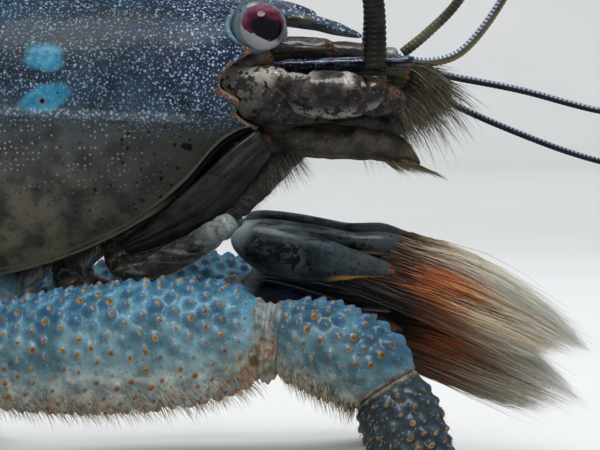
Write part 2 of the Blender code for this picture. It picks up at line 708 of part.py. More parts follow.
MOUTH_BLOCK = [
    (-8.2, 0, 20.6, 3.2, 1.8), (-5.0, 0, 22.9, 3.8, 3.2), (-2.0, 0, 25.6, 3.9, 3.4),
    (0.6, 0, 27.3, 3.7, 2.9), (2.3, 0, 28.1, 3.3, 2.5), (3.7, 0, 28.6, 2.6, 1.9),
]
COMB_LOCKS = 3
JAW_LEG = [
    (0.8, 2.6, 27.9, 0.9, 1.0), (2.8, 3.6, 27.6, 1.15, 1.35), (5.2, 4.2, 27.4, 1.2, 1.45),
    (7.2, 4.3, 27.3, 1.05, 1.25), (9.6, 4.1, 27.0, 1.05, 1.2), (11.0, 3.8, 26.6, 0.7, 0.8),
    (12.3, 3.5, 25.6, 0.12, 0.12),
]
JAW_LEG_LOCKS = 3


def mouth_comb(sign):
    """Locks of bristles that hang from the side of the jaws."""
    locks = []
    for i in range(COMB_LOCKS):
        share = i / (COMB_LOCKS - 1)
        root = np.array([2.6 - 3.4 * share, 2.8 + 0.4 * share, 26.0 - 1.4 * share])
        tip = root + np.array([1.5 - 1.1 * share, 0.9, -2.6 + 0.4 * share])
        path = mirrored([root + (-0.4, -0.6, 0.5), root, (root + tip) / 2 + (0.35, 0.2, 0), tip], sign)
        locks.append(lock(path, 1.0, 0.55, (1, 0, 0.4), 4))
    return locks


def make_mouth(body):
    """Jaws under the head, with a comb of bristles on each side."""
    block = loft(sweep(MOUTH_BLOCK, (0, 1, 0), 10, 6))
    combs = [piece for sign in SIDES.values() for piece in mouth_comb(sign)]
    mesh = joined([block] + combs)
    mesh = cut_clear(mesh, [body.of("carapace"), body.of("thorax"), body.of("head")])
    body.add("mouth", mesh, HORN_BROWN, (-4, 0, 25))


def jaw_leg_fringe(sign):
    """Locks of bristles under the end of the jaw leg."""
    locks = []
    for i in range(JAW_LEG_LOCKS):
        share = i / (JAW_LEG_LOCKS - 1)
        root = np.array([8.0 + 3.4 * share, 4.0 - 0.3 * share, 26.6 - 0.3 * share])
        tip = root + np.array([2.2, 0.1, -1.9 + 0.5 * share])
        path = mirrored([root + (-0.5, 0, 0.4), root, (root + tip) / 2 + (0.2, 0, 0.15), tip], sign)
        locks.append(lock(path, 0.9, 0.5, (1, 0, 0.5), 4))
    return locks


def make_maxilliped(body, side, sign):
    """Third jaw leg: a stout limb held forwards under the head, with bristles along its underside."""
    limb = loft(sweep(mirrored(JAW_LEG, sign), (0, 1, 0), 6, 9))
    near = ["mouth", "head", f"antenna_{side}_stalk", f"antenna_{side}_scale"]
    mesh = cut_clear(joined([limb] + jaw_leg_fringe(sign)), [body.of(name) for name in near])
    body.add(f"maxilliped_{side}", mesh, HORN_BROWN, mirrored([(1.5, 2.9, 27.7)], sign)[0])


# Fan legs: arm from the breast to the elbow, then the two fingers of the claw.
FAN_ARMS = {
    1: [
        (-11.6, 2.6, 20.4, 1.1, 1.1), (-11.0, 4.4, 17.9, 1.15, 1.15), (-9.2, 5.7, 17.5, 1.1, 1.15),
        (-6.0, 6.3, 18.9, 1.05, 1.1), (-3.4, 7.0, 20.6, 1.0, 1.0), (-2.1, 7.6, 21.3, 0.85, 0.85),
    ],
    2: [
        (-15.6, 2.6, 18.5, 1.2, 1.2), (-14.8, 4.2, 15.8, 1.25, 1.25), (-12.4, 5.2, 14.6, 1.15, 1.2),
        (-8.0, 5.7, 14.2, 1.1, 1.15), (-4.0, 6.1, 14.8, 1.05, 1.1), (-1.9, 6.4, 15.6, 0.9, 0.9),
    ],
}
OUTER_FINGER = [
    (-1.75, 7.9, 20.9, 0.5, 0.7), (-1.0, 8.2, 20.1, 0.95, 1.5), (1.0, 8.6, 19.2, 1.15, 1.95),
    (3.8, 8.8, 18.6, 1.1, 1.8), (6.4, 8.7, 18.2, 0.9, 1.25), (8.8, 8.6, 17.8, 0.6, 0.75),
    (10.6, 8.5, 17.4, 0.15, 0.2),
]
INNER_FINGER = [
    (-1.6, 7.5, 20.8, 0.5, 0.6), (0.4, 7.3, 20.6, 0.85, 0.95), (4.0, 7.2, 20.1, 0.85, 0.95),
    (6.8, 7.2, 19.75, 0.7, 0.75), (9.8, 7.2, 19.6, 0.8, 0.85), (12.6, 7.2, 19.1, 0.25, 0.3),
]
# Roots of the brush around the ends of the fingers, from the top one to the lower one, and how far
# it reaches: its tip, and the middles of its top and lower edges.
BRUSH_ROOTS = [(12.0, 7.3, 19.5), (11.2, 7.4, 18.9), (10.2, 8.1, 17.8), (8.4, 8.4, 17.0), (6.0, 8.5, 16.9)]
BRUSH_TIP, BRUSH_TOP, BRUSH_FOOT = (25.2, 7.6, 11.5), (18.6, 7.5, 17.0), (18.0, 7.6, 12.6)
BRUSH_LOCKS = 8
BRUSH_WIDTH, BRUSH_THICKNESS = 2.0, 1.0
BRUSH_LAYERS = (0.8, -0.8, 0.0)  # how far to the side each lock in turn lies
BRUSH_INSET = 1.1  # how deep its root is sunk
CLAW_MOVES = {1: (0.0, 0.0, 0.0), 2: (0.3, -1.7, -4.55)}


def brush_path(share, side_step):
    """Middle line of one lock of the fan: share is 0 along its top edge and 1 along its lower one."""
    root = spine_at(BRUSH_ROOTS, share * (len(BRUSH_ROOTS) - 1))
    top, foot, tip = np.array(BRUSH_TOP), np.array(BRUSH_FOOT), np.array(BRUSH_TIP)
    spread = 1 - 0.55 * abs(share - 0.35)
    end = tip + np.array([-3.4 * max(0.0, share - 0.45) * 2 - 1.2 * (1 - spread), 0, -0.4 * share])
    middle = top + (foot - top) * share + np.array([-2.2 * share, 0, 0])
    sideways = np.array([0, side_step, 0])
    inset = unit(middle - root) * BRUSH_INSET
    return [root - inset, root, middle + sideways, end + sideways * 0.55]


def brush(placed, sign, seed):
    """Flat tapered locks from both fingers, meeting in a point like a wet paint brush."""
    rng = random.Random(seed)
    locks = []
    for i in range(BRUSH_LOCKS):
        share = i / (BRUSH_LOCKS - 1)
        side_step = BRUSH_LAYERS[i % 3] + rng.uniform(-0.12, 0.12)
        path = placed(brush_path(share, side_step))
        locks.append(lock(path, BRUSH_WIDTH, BRUSH_THICKNESS, (0, 0.25 * sign, 1), 5))
    return locks


def claw_pieces(sign, move, seed):
    move = np.array(move, float)

    def placed(rows):
        made = np.array(rows, float)
        made[:, :3] += move
        return mirrored(made, sign)

    outer = loft(sweep(placed(OUTER_FINGER), (0, 1, 0), 8, 8))
    inner = loft(sweep(placed(INNER_FINGER), (0, 1, 0), 6, 7))
    return [outer, inner] + brush(placed, sign, seed)


def make_fan_leg(body, number, side, sign):
    name = f"fan_leg_{number}_{side}"
    arm_rows = mirrored(FAN_ARMS[number], sign)
    arm = loft(sweep(arm_rows, (0, 1, 0), 7, 9))
    near = ["thorax", "carapace", "mouth"]
    arm = cut_clear(arm, [body.of(n) for n in near])
    body.add(f"{name}_arm", arm, SHELL_BLUE, arm_rows[1][:3])
    claw = joined(claw_pieces(sign, CLAW_MOVES[number], 20 + number))
    near = [f"{name}_arm"]
    if number == 2:
        near += [f"fan_leg_1_{side}_claw", f"fan_leg_1_{side}_arm"]
    claw = cut_clear(claw, [body.of(n) for n in near])
    body.add(f"{name}_claw", claw, BRUSH_CREAM, arm_rows[-1][:3])


# Stout third leg: coxa and ischium, then merus, carpus, propodus and claw.
STOUT_BASE = [
    (-20.6, 3.0, 17.6, 2.1, 2.1), (-21.2, 5.0, 14.2, 2.3, 2.3), (-22.0, 8.2, 11.9, 2.5, 2.6),
    (-21.0, 11.0, 11.6, 2.3, 2.4),
]
STOUT_LEG = [
    (-24.2, 9.6, 11.3, 1.3, 1.4), (-22.6, 10.6, 11.4, 2.7, 2.7), (-18.2, 12.2, 11.7, 3.4, 3.9),
    (-11.8, 13.6, 12.3, 3.9, 4.5), (-5.6, 14.4, 12.9, 3.8, 4.4), (-1.3, 14.8, 13.3, 3.1, 3.5),
    (0.6, 15.0, 13.4, 2.1, 2.3), (2.4, 15.2, 13.2, 2.6, 2.9), (5.4, 15.9, 12.4, 2.9, 3.3),
    (8.0, 16.6, 11.0, 2.8, 3.1), (9.2, 17.0, 9.7, 2.3, 2.5), (10.0, 17.5, 7.9, 2.6, 2.9),
    (10.9, 18.1, 5.4, 2.5, 2.8), (11.9, 18.8, 2.9, 1.9, 2.1), (12.6, 19.4, 0.9, 1.1, 1.1),
    (13.0, 19.8, -0.8, 0.75, 0.75),
]
MERUS_END, CARPUS_END = 6, 10  # rows at the joints
STOUT_TURN = {"right": 0.0, "left": 5.0}
TUBERCLE = 0.62
TUBERCLE_LEAN = 0.45  # how far it leans forwards for its height


def studded(rows, sides, count, first, last, trim, height, plain_ends=2):
    """Rings of a limb with every third point of a staggered lattice raised into a leaning tubercle."""
    rings = sweep(rows, (0, 1, 0), sides, count, first, last, trim, staggered=True)
    centres, tangents = spine_samples(rows, first, last, count, trim)
    for i, ring in enumerate(rings):
        room = min(i, count - 1 - i)
        if room < plain_ends:
            continue
        for j in range(sides):
            if (j - i // 2 - i) % 3 == 0:
                out = unit(ring[j] - centres[i][:3])
                ring[j] += height * (out + tangents[i] * TUBERCLE_LEAN)
    return rings


def make_stout_leg(body, side, sign, turn):
    """turn is how far the leg, seen from above, is swung about its root, in degrees."""
    rows, base = mirrored(STOUT_LEG, sign), mirrored(STOUT_BASE, sign)
    pivot = base[2][:2].copy()
    angle = math.radians(turn)
    spin = np.array([[math.cos(angle), -math.sin(angle)], [math.sin(angle), math.cos(angle)]])
    rows[:, :2] = (rows[:, :2] - pivot) @ spin.T + pivot
    merus = studded(rows, 21, 21, 0, MERUS_END, (0, GAP / 2), TUBERCLE)
    merus = joined([loft(merus, staggered=True), loft(sweep(base, (1, 0, 0), 8, 6))])
    merus = cut_clear(merus, [body.of("thorax"), body.of("carapace")])
    body.add(f"leg_3_{side}_merus", merus, LEG_BLUE, base[1][:3])
    carpus = studded(rows, 15, 11, MERUS_END, CARPUS_END, (GAP / 2, GAP / 2), TUBERCLE * 0.9, 1)
    body.add(f"leg_3_{side}_carpus", loft(carpus, staggered=True), LEG_BLUE, rows[MERUS_END][:3])
    propodus = studded(rows, 12, 12, CARPUS_END, len(rows) - 1, (GAP / 2, 0), TUBERCLE * 0.8, 3)
    propodus = stood_on_floor(loft(propodus, staggered=True))
    body.add(f"leg_3_{side}_propodus", propodus, LEG_BLUE, rows[CARPUS_END][:3])


# Slender walking legs behind: root, hip, thigh, knee, shin, foot.
WALKING_LEGS = {
    4: [
        (-25.2, 3.0, 17.2, 1.5, 1.5), (-25.4, 4.6, 14.8, 1.6, 1.6), (-26.0, 7.6, 13.6, 1.5, 1.6),
        (-26.6, 11.8, 14.6, 1.7, 1.9), (-26.8, 16.0, 15.0, 1.5, 1.7), (-26.6, 18.6, 13.8, 1.25, 1.35),
        (-26.2, 20.8, 10.6, 1.25, 1.4), (-25.9, 22.2, 6.4, 1.0, 1.1), (-25.7, 23.0, 2.4, 0.75, 0.8),
        (-25.6, 23.3, -0.8, 0.55, 0.55),
    ],
    5: [
        (-29.6, 2.8, 17.4, 1.4, 1.4), (-30.2, 4.4, 15.0, 1.5, 1.5), (-31.6, 7.2, 13.8, 1.4, 1.5),
        (-34.0, 10.8, 14.6, 1.6, 1.8), (-36.4, 14.2, 15.0, 1.4, 1.6), (-37.8, 16.2, 13.6, 1.15, 1.25),
        (-39.4, 18.0, 10.2, 1.15, 1.3), (-40.8, 19.4, 6.2, 0.9, 1.0), (-41.8, 20.4, 2.3, 0.7, 0.75),
        (-42.4, 21.0, -0.8, 0.5, 0.5),
    ],
}


def make_walking_leg(body, number, side, sign):
    rows = mirrored(WALKING_LEGS[number], sign)
    mesh = loft(sweep(rows, (1, 0, 0), 7, 14))
    mesh = cut_clear(mesh, [body.of("thorax"), body.of("carapace")])
    body.add(f"leg_{number}_{side}", stood_on_floor(mesh), LEG_BLUE, rows[1][:3])


def abdomen_angle(s):
    """Slope of the middle line of the abdomen and tail, in radians below level, at a distance along it."""
    return math.radians(smooth(s, DROOP_S, DROOP_DEGREES))


def abdomen_frame(s):
    """The middle line's point and its upward normal in the XZ plane."""
    steps = 60
    x, z = ABDOMEN_START
    for k in range(steps):
        angle = abdomen_angle(s * (k + 0.5) / steps)
        x -= math.cos(angle) * s / steps
        z -= math.sin(angle) * s / steps
    angle = abdomen_angle(s)
    return np.array([x, 0.0, z]), np.array([-math.sin(angle), 0.0, math.cos(angle)])


def abdomen_point(s, y, up):
    origin, normal = abdomen_frame(s)
    return origin + normal * up + np.array([0.0, y, 0.0])


def segment_starts():
    return np.concatenate([[0.0], np.cumsum(ABDOMEN_LENGTHS)])


def boundary(number, level):
    """Where the joint before segment number lies along the middle line, at a level of the hoop."""
    lean = PLEURON_SHIFT[number] * (1 - min(1.0, level / 0.55)) ** 1.2
    return segment_starts()[number] + lean


def segment_point(number, share, level, inset=1.0):
    """A point on the left of an abdominal hoop; share runs from its front edge to its hind one."""
    front = boundary(number, level) + (ABDOMEN_GAP / 2 if number else 0.0)
    back = boundary(number + 1, level) - ABDOMEN_GAP / 2
    s = front + (back - front) * share
    up = smooth(s, ABDOMEN_S, ABDOMEN_UP)
    down = smooth(s, ABDOMEN_S, ABDOMEN_DOWN)
    width = smooth(s, ABDOMEN_S, ABDOMEN_HALF_WIDTH)
    tuck = 1 - 0.06 * (1 - share) ** 2
    middle = 2 * share - 1
    lobe = 1 - 0.16 * abs(middle if number < 5 else min(0.0, middle)) ** 3
    height = -down * lobe + (up * tuck + down * lobe) * level
    y = width * tuck * hull_width(level, 0.45, 0.72) * inset
    return abdomen_point(s, y, height)


def make_abdomen(body):
    for number in range(6):
        channel = ABDOMEN_CHANNEL_LEVELS if number < 5 else 0
        rings = 4
        mesh = hooped(
            ABDOMEN_LEVELS,
            channel,
            lambda i, level: segment_point(number, i / (rings - 1), level),
            lambda i, level, k: segment_point(number, i / (rings - 1), level, ABDOMEN_CHANNEL_SHARES[k]),
            rings,
        )
        if number == 0:
            mesh = cut_clear(mesh, [body.of("carapace"), body.of("thorax")])
        body.add(f"abdomen_{number + 1}", mesh, SHELL_BLUE, segment_point(number, 0.5, 0.5, 0.0))


def leaf(root, aim, flat, length, width, thickness, rows=6, columns=3, fringe=0.0):
    """A leaf-shaped blade from root towards aim, flat across the direction flat.

    Its middle column is raised into a ridge, and fringe lengthens every other column at its end.
    """
    aim = unit(aim)
    across = unit(np.array(flat) - np.dot(flat, aim) * aim)
    grid, thick = [], []
    for i in range(rows):
        share = i / (rows - 1)
        half = 0.5 * width * (0.42 + 0.58 * math.sin(math.pi * (0.12 + 0.62 * share))) * (1 - 0.45 * share**5)
        row = []
        for j in range(columns):
            t = 2 * j / (columns - 1) - 1
            reach = length * share * (1 - 0.1 * t * t * share)
            if i == rows - 1:
                reach += fringe * (j % 2)
            row.append(root + aim * reach + across * half * t)
        grid.append(row)
        ridge = 1.7 - 0.7 * share
        thick.append([thickness * (ridge if 2 * j == columns - 1 else 1.0) for j in range(columns)])
    return plate(grid, thick)


# Telson: share of its length, half width, half thickness.
TELSON = ((0.0, 2.5, 1.5), (0.25, 2.45, 1.2), (0.6, 2.0, 0.8), (0.9, 1.5, 0.45), (1.0, 0.9, 0.3))
# Blades of a side fan, inner and outer: step to the side, spread, length and width.
TAIL_BLADES = ((0.5, 0.2, 11.3, 4.9), (1.5, 0.56, 12.1, 6.1))
TAIL_BLADE_THICKNESS = 0.62
TAIL_FRINGE = 0.8


def make_tail(body):
    """Telson and the two side fans, whose hind edges rest on the floor."""
    end = sum(ABDOMEN_LENGTHS) + GAP
    rows = []
    for share, half_width, half_thick in TELSON:
        middle = abdomen_point(end + TELSON_LENGTH * share, 0, 0.9 - 0.9 * share)
        rows.append((*middle, half_width, half_thick))
    telson = cut_clear(loft(sweep(rows, (0, 1, 0), 8, 7)), [body.of("abdomen_6")])
    body.add("telson", stood_on_floor(telson), SHELL_BLUE, rows[0][:3])
    tip = abdomen_point(end + TELSON_LENGTH, 0, -0.9)
    for side, sign in SIDES.items():
        out = np.array([0.0, sign, 0.0])
        root = abdomen_point(end - 1.0, sign * 2.7, -1.2)
        back = unit(tip - abdomen_point(end - 1.0, 0, -1.1))
        stem_rows = [
            (*(root - back * 0.2), 1.2, 1.0),
            (*(root + back * 1.6 + out * 0.7), 1.5, 0.9),
            (*(root + back * 3.2 + out * 1.4), 1.3, 0.6),
        ]
        stem = loft(sweep(stem_rows, (0, 1, 0), 7, 3))
        blade_root = root + back * 1.5
        pieces = [stem]
        for step, spread, length, width in TAIL_BLADES:
            start = blade_root + out * step - np.array([0, 0, 0.3 * (step - 0.5)])
            aim = back + out * spread
            pieces.append(leaf(start, aim, out, length, width, TAIL_BLADE_THICKNESS, 5, 5, TAIL_FRINGE))
        mesh = cut_clear(joined(pieces), [body.of("abdomen_6"), body.of("telson")])
        body.add(f"tail_fan_{side}", stood_on_floor(mesh), SHELL_BLUE, root)


PADDLE_LENGTH, PADDLE_LOSS = 5.2, 0.35  # of the first pair, and how much shorter each pair is
PADDLE_THICKNESS = 0.55


def make_swimmeret(body, number, side, sign):
    """A short stem with two leaves, hung in the channel of a segment."""
    starts = segment_starts()
    middle = (starts[number] + starts[number + 1]) / 2 + (0.6 if number == 0 else 0.0)
    depth = float(smooth(middle, ABDOMEN_S, ABDOMEN_DOWN))
    width = float(smooth(middle, ABDOMEN_S, ABDOMEN_HALF_WIDTH))
    root = abdomen_point(middle - 0.6, sign * width * 0.27, -depth * 0.45)
    elbow = abdomen_point(middle + 0.3, sign * width * 0.33, -depth * 0.92)
    aim = abdomen_point(middle + 3.6, sign * width * 0.36, -depth * 1.5) - elbow
    stem_rows = [(*root, 0.8, 0.9), (*(root + elbow) / 2, 0.85, 1.0), (*elbow, 0.7, 0.75)]
    stem = loft(sweep(stem_rows, (0, 1, 0), 4, 3))
    length = PADDLE_LENGTH - PADDLE_LOSS * number
    flat = (0.0, 1.0, 0.0)
    start = elbow - unit(aim) * 0.5
    inner_start = start - (0, sign * 0.25, 0)
    inner = leaf(inner_start, aim, flat, length * 0.85, 1.9, PADDLE_THICKNESS, 3, 2)
    outer_start = start + (0, sign * 0.55, 0)
    outer_aim = aim + (0.0, sign * 0.25, -0.5)
    outer = leaf(outer_start, outer_aim, flat, length, 2.2, PADDLE_THICKNESS, 3, 2)
    mesh = cut_clear(joined([stem, inner, outer]), [body.of(f"abdomen_{number + 1}")])
    body.add(f"swimmeret_{number + 1}_{side}", mesh, LEG_BLUE, root)


def main():
    for obj in list(bpy.data.objects):
        bpy.data.objects.remove(obj)
    body = Body()
    make_carapace(body)
    make_thorax(body)
    make_rostrum(body)
    make_head(body)
    for side, sign in SIDES.items():
        make_antennule(body, side, sign)
        make_antennule_feelers(body, side)
        make_antenna(body, side, sign)
    make_mouth(body)
    for side, sign in SIDES.items():
        make_maxilliped(body, side, sign)
        make_fan_leg(body, 1, side, sign)
        make_fan_leg(body, 2, side, sign)
        make_stout_leg(body, side, sign, STOUT_TURN[side])
        make_walking_leg(body, 4, side, sign)
        make_walking_leg(body, 5, side, sign)
    make_abdomen(body)
    make_tail(body)
    for number in range(5):
        for side, sign in SIDES.items():
            make_swimmeret(body, number, side, sign)
    body.stand_at_origin()


main()
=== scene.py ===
"""Looks of the African fan shrimp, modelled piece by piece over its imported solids.

Shapes are in millimetres in the body frame of the solids: X is 0 at the eyes and points forwards,
Y is the animal's left, and Z is 0 at the floor. A shape becomes metres when its piece is made.
"""

import math

import bpy
import numpy as np
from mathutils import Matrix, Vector


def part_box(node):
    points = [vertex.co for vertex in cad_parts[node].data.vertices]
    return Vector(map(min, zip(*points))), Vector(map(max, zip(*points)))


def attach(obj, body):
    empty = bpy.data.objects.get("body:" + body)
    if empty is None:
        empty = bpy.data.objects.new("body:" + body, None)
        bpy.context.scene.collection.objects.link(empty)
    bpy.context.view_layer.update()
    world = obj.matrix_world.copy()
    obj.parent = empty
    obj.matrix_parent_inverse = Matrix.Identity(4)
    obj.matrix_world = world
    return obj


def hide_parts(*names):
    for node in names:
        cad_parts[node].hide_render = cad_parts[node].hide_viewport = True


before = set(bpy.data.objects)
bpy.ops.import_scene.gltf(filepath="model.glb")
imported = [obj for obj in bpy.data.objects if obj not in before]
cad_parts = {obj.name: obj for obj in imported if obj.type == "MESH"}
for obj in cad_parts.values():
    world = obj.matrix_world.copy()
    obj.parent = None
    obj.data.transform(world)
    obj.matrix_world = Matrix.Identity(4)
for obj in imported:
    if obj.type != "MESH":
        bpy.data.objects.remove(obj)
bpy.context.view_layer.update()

MM = 0.001
SIDES = {"right": -1, "left": 1}
HIND_X = -35.0  # hind edge of the carapace in the body frame
carapace_low, carapace_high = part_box("carapace")
SHIFT = np.array([carapace_low.x / MM - HIND_X, (carapace_low.y + carapace_high.y) / 2 / MM, 0.0])

# Carapace, as in the solids: side outline, half its width, and its front margin at each level.
CARAPACE_X = (-35.0, -33.0, -28.0, -22.0, -16.0, -10.7, -6.2, -3.1, -0.5, 1.8)
CARAPACE_TOP = (37.0, 38.4, 39.9, 40.5, 40.4, 40.0, 39.5, 39.1, 38.7, 38.2)
CARAPACE_BOTTOM = (19.6, 17.8, 16.7, 16.8, 18.1, 20.4, 23.4, 26.9, 28.3, 28.6)
CARAPACE_HALF_WIDTH = (7.5, 8.4, 9.3, 9.7, 9.5, 8.9, 8.0, 7.2, 6.5, 5.9)
CARAPACE_LEVELS = (
    0.0, 0.08, 0.16, 0.24, 0.31, 0.38, 0.46, 0.53, 0.585, 0.64, 0.73, 0.82, 0.89, 0.95, 1.0,
)
CARAPACE_FRONT_X = (
    -0.3, -1.3, -1.9, -1.7, -2.4, -3.1, -2.9, -1.8, -0.7, -1.5, -2.3, -2.2, -1.2, 0.5, 1.5,
)

# Abdomen, as in the solids.
ABDOMEN_START = (-35.3, 28.4)
ABDOMEN_LENGTHS = (5.2, 8.6, 8.4, 7.2, 6.4, 9.2)
DROOP_S = (0.0, 8.0, 18.0, 28.0, 36.0, 45.0, 60.0)
DROOP_DEGREES = (1.0, 11.0, 30.0, 44.0, 45.0, 34.0, 16.0)
ABDOMEN_S = (0.0, 6.0, 14.0, 22.0, 29.0, 35.5, 45.0)
ABDOMEN_UP = (8.2, 8.7, 8.6, 7.9, 6.8, 5.7, 3.9)
ABDOMEN_DOWN = (8.6, 9.6, 9.6, 8.6, 7.4, 6.0, 3.0)
ABDOMEN_HALF_WIDTH = (7.3, 7.7, 7.6, 6.9, 5.9, 5.0, 3.4)
PLEURON_SHIFT = (0.0, -2.6, 2.8, 2.0, 1.8, 1.4, 0.0)
TELSON_LENGTH = 13.0
TELSON = ((0.0, 2.5, 1.5), (0.25, 2.45, 1.2), (0.6, 2.0, 0.8), (0.9, 1.5, 0.45), (1.0, 0.9, 0.3))

EYE_CENTRE = (0.0, 5.5, 36.2)
EYE_RADIUS = 1.75


def rgb(red, green, blue):
    """Linear colour of a display colour given from 0 to 255."""
    share = np.array([red, green, blue]) / 255
    linear = np.where(share <= 0.04045, share / 12.92, ((share + 0.055) / 1.055) ** 2.4)
    return (*(float(c) for c in linear), 1.0)


def smooth(x, xs, ys):
    """Cubic curve through the points xs, ys, level with its neighbours at each of them."""
    xs = np.asarray(xs, float)
    ys = np.asarray(ys, float)
    slopes = np.gradient(ys, xs)
    x = np.clip(x, xs[0], xs[-1])
    i = np.clip(np.searchsorted(xs, x, side="right") - 1, 0, len(xs) - 2)
    width = xs[i + 1] - xs[i]
    t = (x - xs[i]) / width
    return (
        ys[i] * (1 + 2 * t) * (1 - t) ** 2
        + slopes[i] * width * t * (1 - t) ** 2
        + ys[i + 1] * t * t * (3 - 2 * t)
        + slopes[i + 1] * width * t * t * (t - 1)
    )


def spline(rows, t):
    """Catmull-Rom curve through rows, at an array of row numbers."""
    rows = np.asarray(rows, float)
    t = np.atleast_1d(t)
    i = np.clip(np.floor(t).astype(int), 0, len(rows) - 2)
    f = (t - i)[:, None]
    padded = np.vstack([2 * rows[0] - rows[1], rows, 2 * rows[-1] - rows[-2]])
    before, a, b, after = padded[i], padded[i + 1], padded[i + 2], padded[i + 3]
    return 0.5 * (
        2 * a
        + (b - before) * f
        + (2 * before - 5 * a + 4 * b - after) * f**2
        + (3 * a - before - 3 * b + after) * f**3
    )


def even(rows, count, first=0, last=None):
    """Rows and unit tangents evenly spaced along the curve, and its length."""
    last = len(rows) - 1 if last is None else last
    dense_t = np.linspace(first, last, 60 * max(1, math.ceil(last - first)) + 1)
    dense = spline(rows, dense_t)
    steps = np.linalg.norm(np.diff(dense[:, :3], axis=0), axis=1)
    along = np.concatenate([[0.0], np.cumsum(steps)])
    wanted = np.interp(np.linspace(0, along[-1], count), along, dense_t)
    nearby = 0.02
    tangents = (spline(rows, wanted + nearby) - spline(rows, wanted - nearby))[:, :3]
    return spline(rows, wanted), unit(tangents), along[-1]


def unit(v):
    v = np.asarray(v, float)
    return v / np.maximum(np.linalg.norm(v, axis=-1, keepdims=True), 1e-12)


def mirrored(rows, sign):
    made = np.array(rows, float)
    made[..., 1] *= sign
    return made


def ripple(points, size, seed):
    """Smooth uneven field from -1 to 1 whose waves are about size millimetres long."""
    rng = np.random.default_rng(seed)
    total = 0.0
    for _ in range(7):
        direction = unit(rng.normal(size=3)) * 2 * math.pi / (size * rng.uniform(0.7, 1.5))
        total = total + np.sin(points @ direction + rng.uniform(0, 2 * math.pi))
    return total / 4.0


def edge_spaced(length, step):
    """Distances from 0 to length, closer together near both ends."""
    near = np.array([0.0, 0.05, 0.12, 0.2, 0.3, 0.42, 0.56, 0.72, 0.9])
    middle = np.linspace(near[-1], length - near[-1], max(2, int(length / step)))
    return np.concatenate([near[:-1], middle, length - near[-2::-1]])


def normals_of(grid):
    return unit(np.cross(np.gradient(grid, axis=0), np.gradient(grid, axis=1)))


PATCH = 0.003  # width of one hair's place on the map of its coat


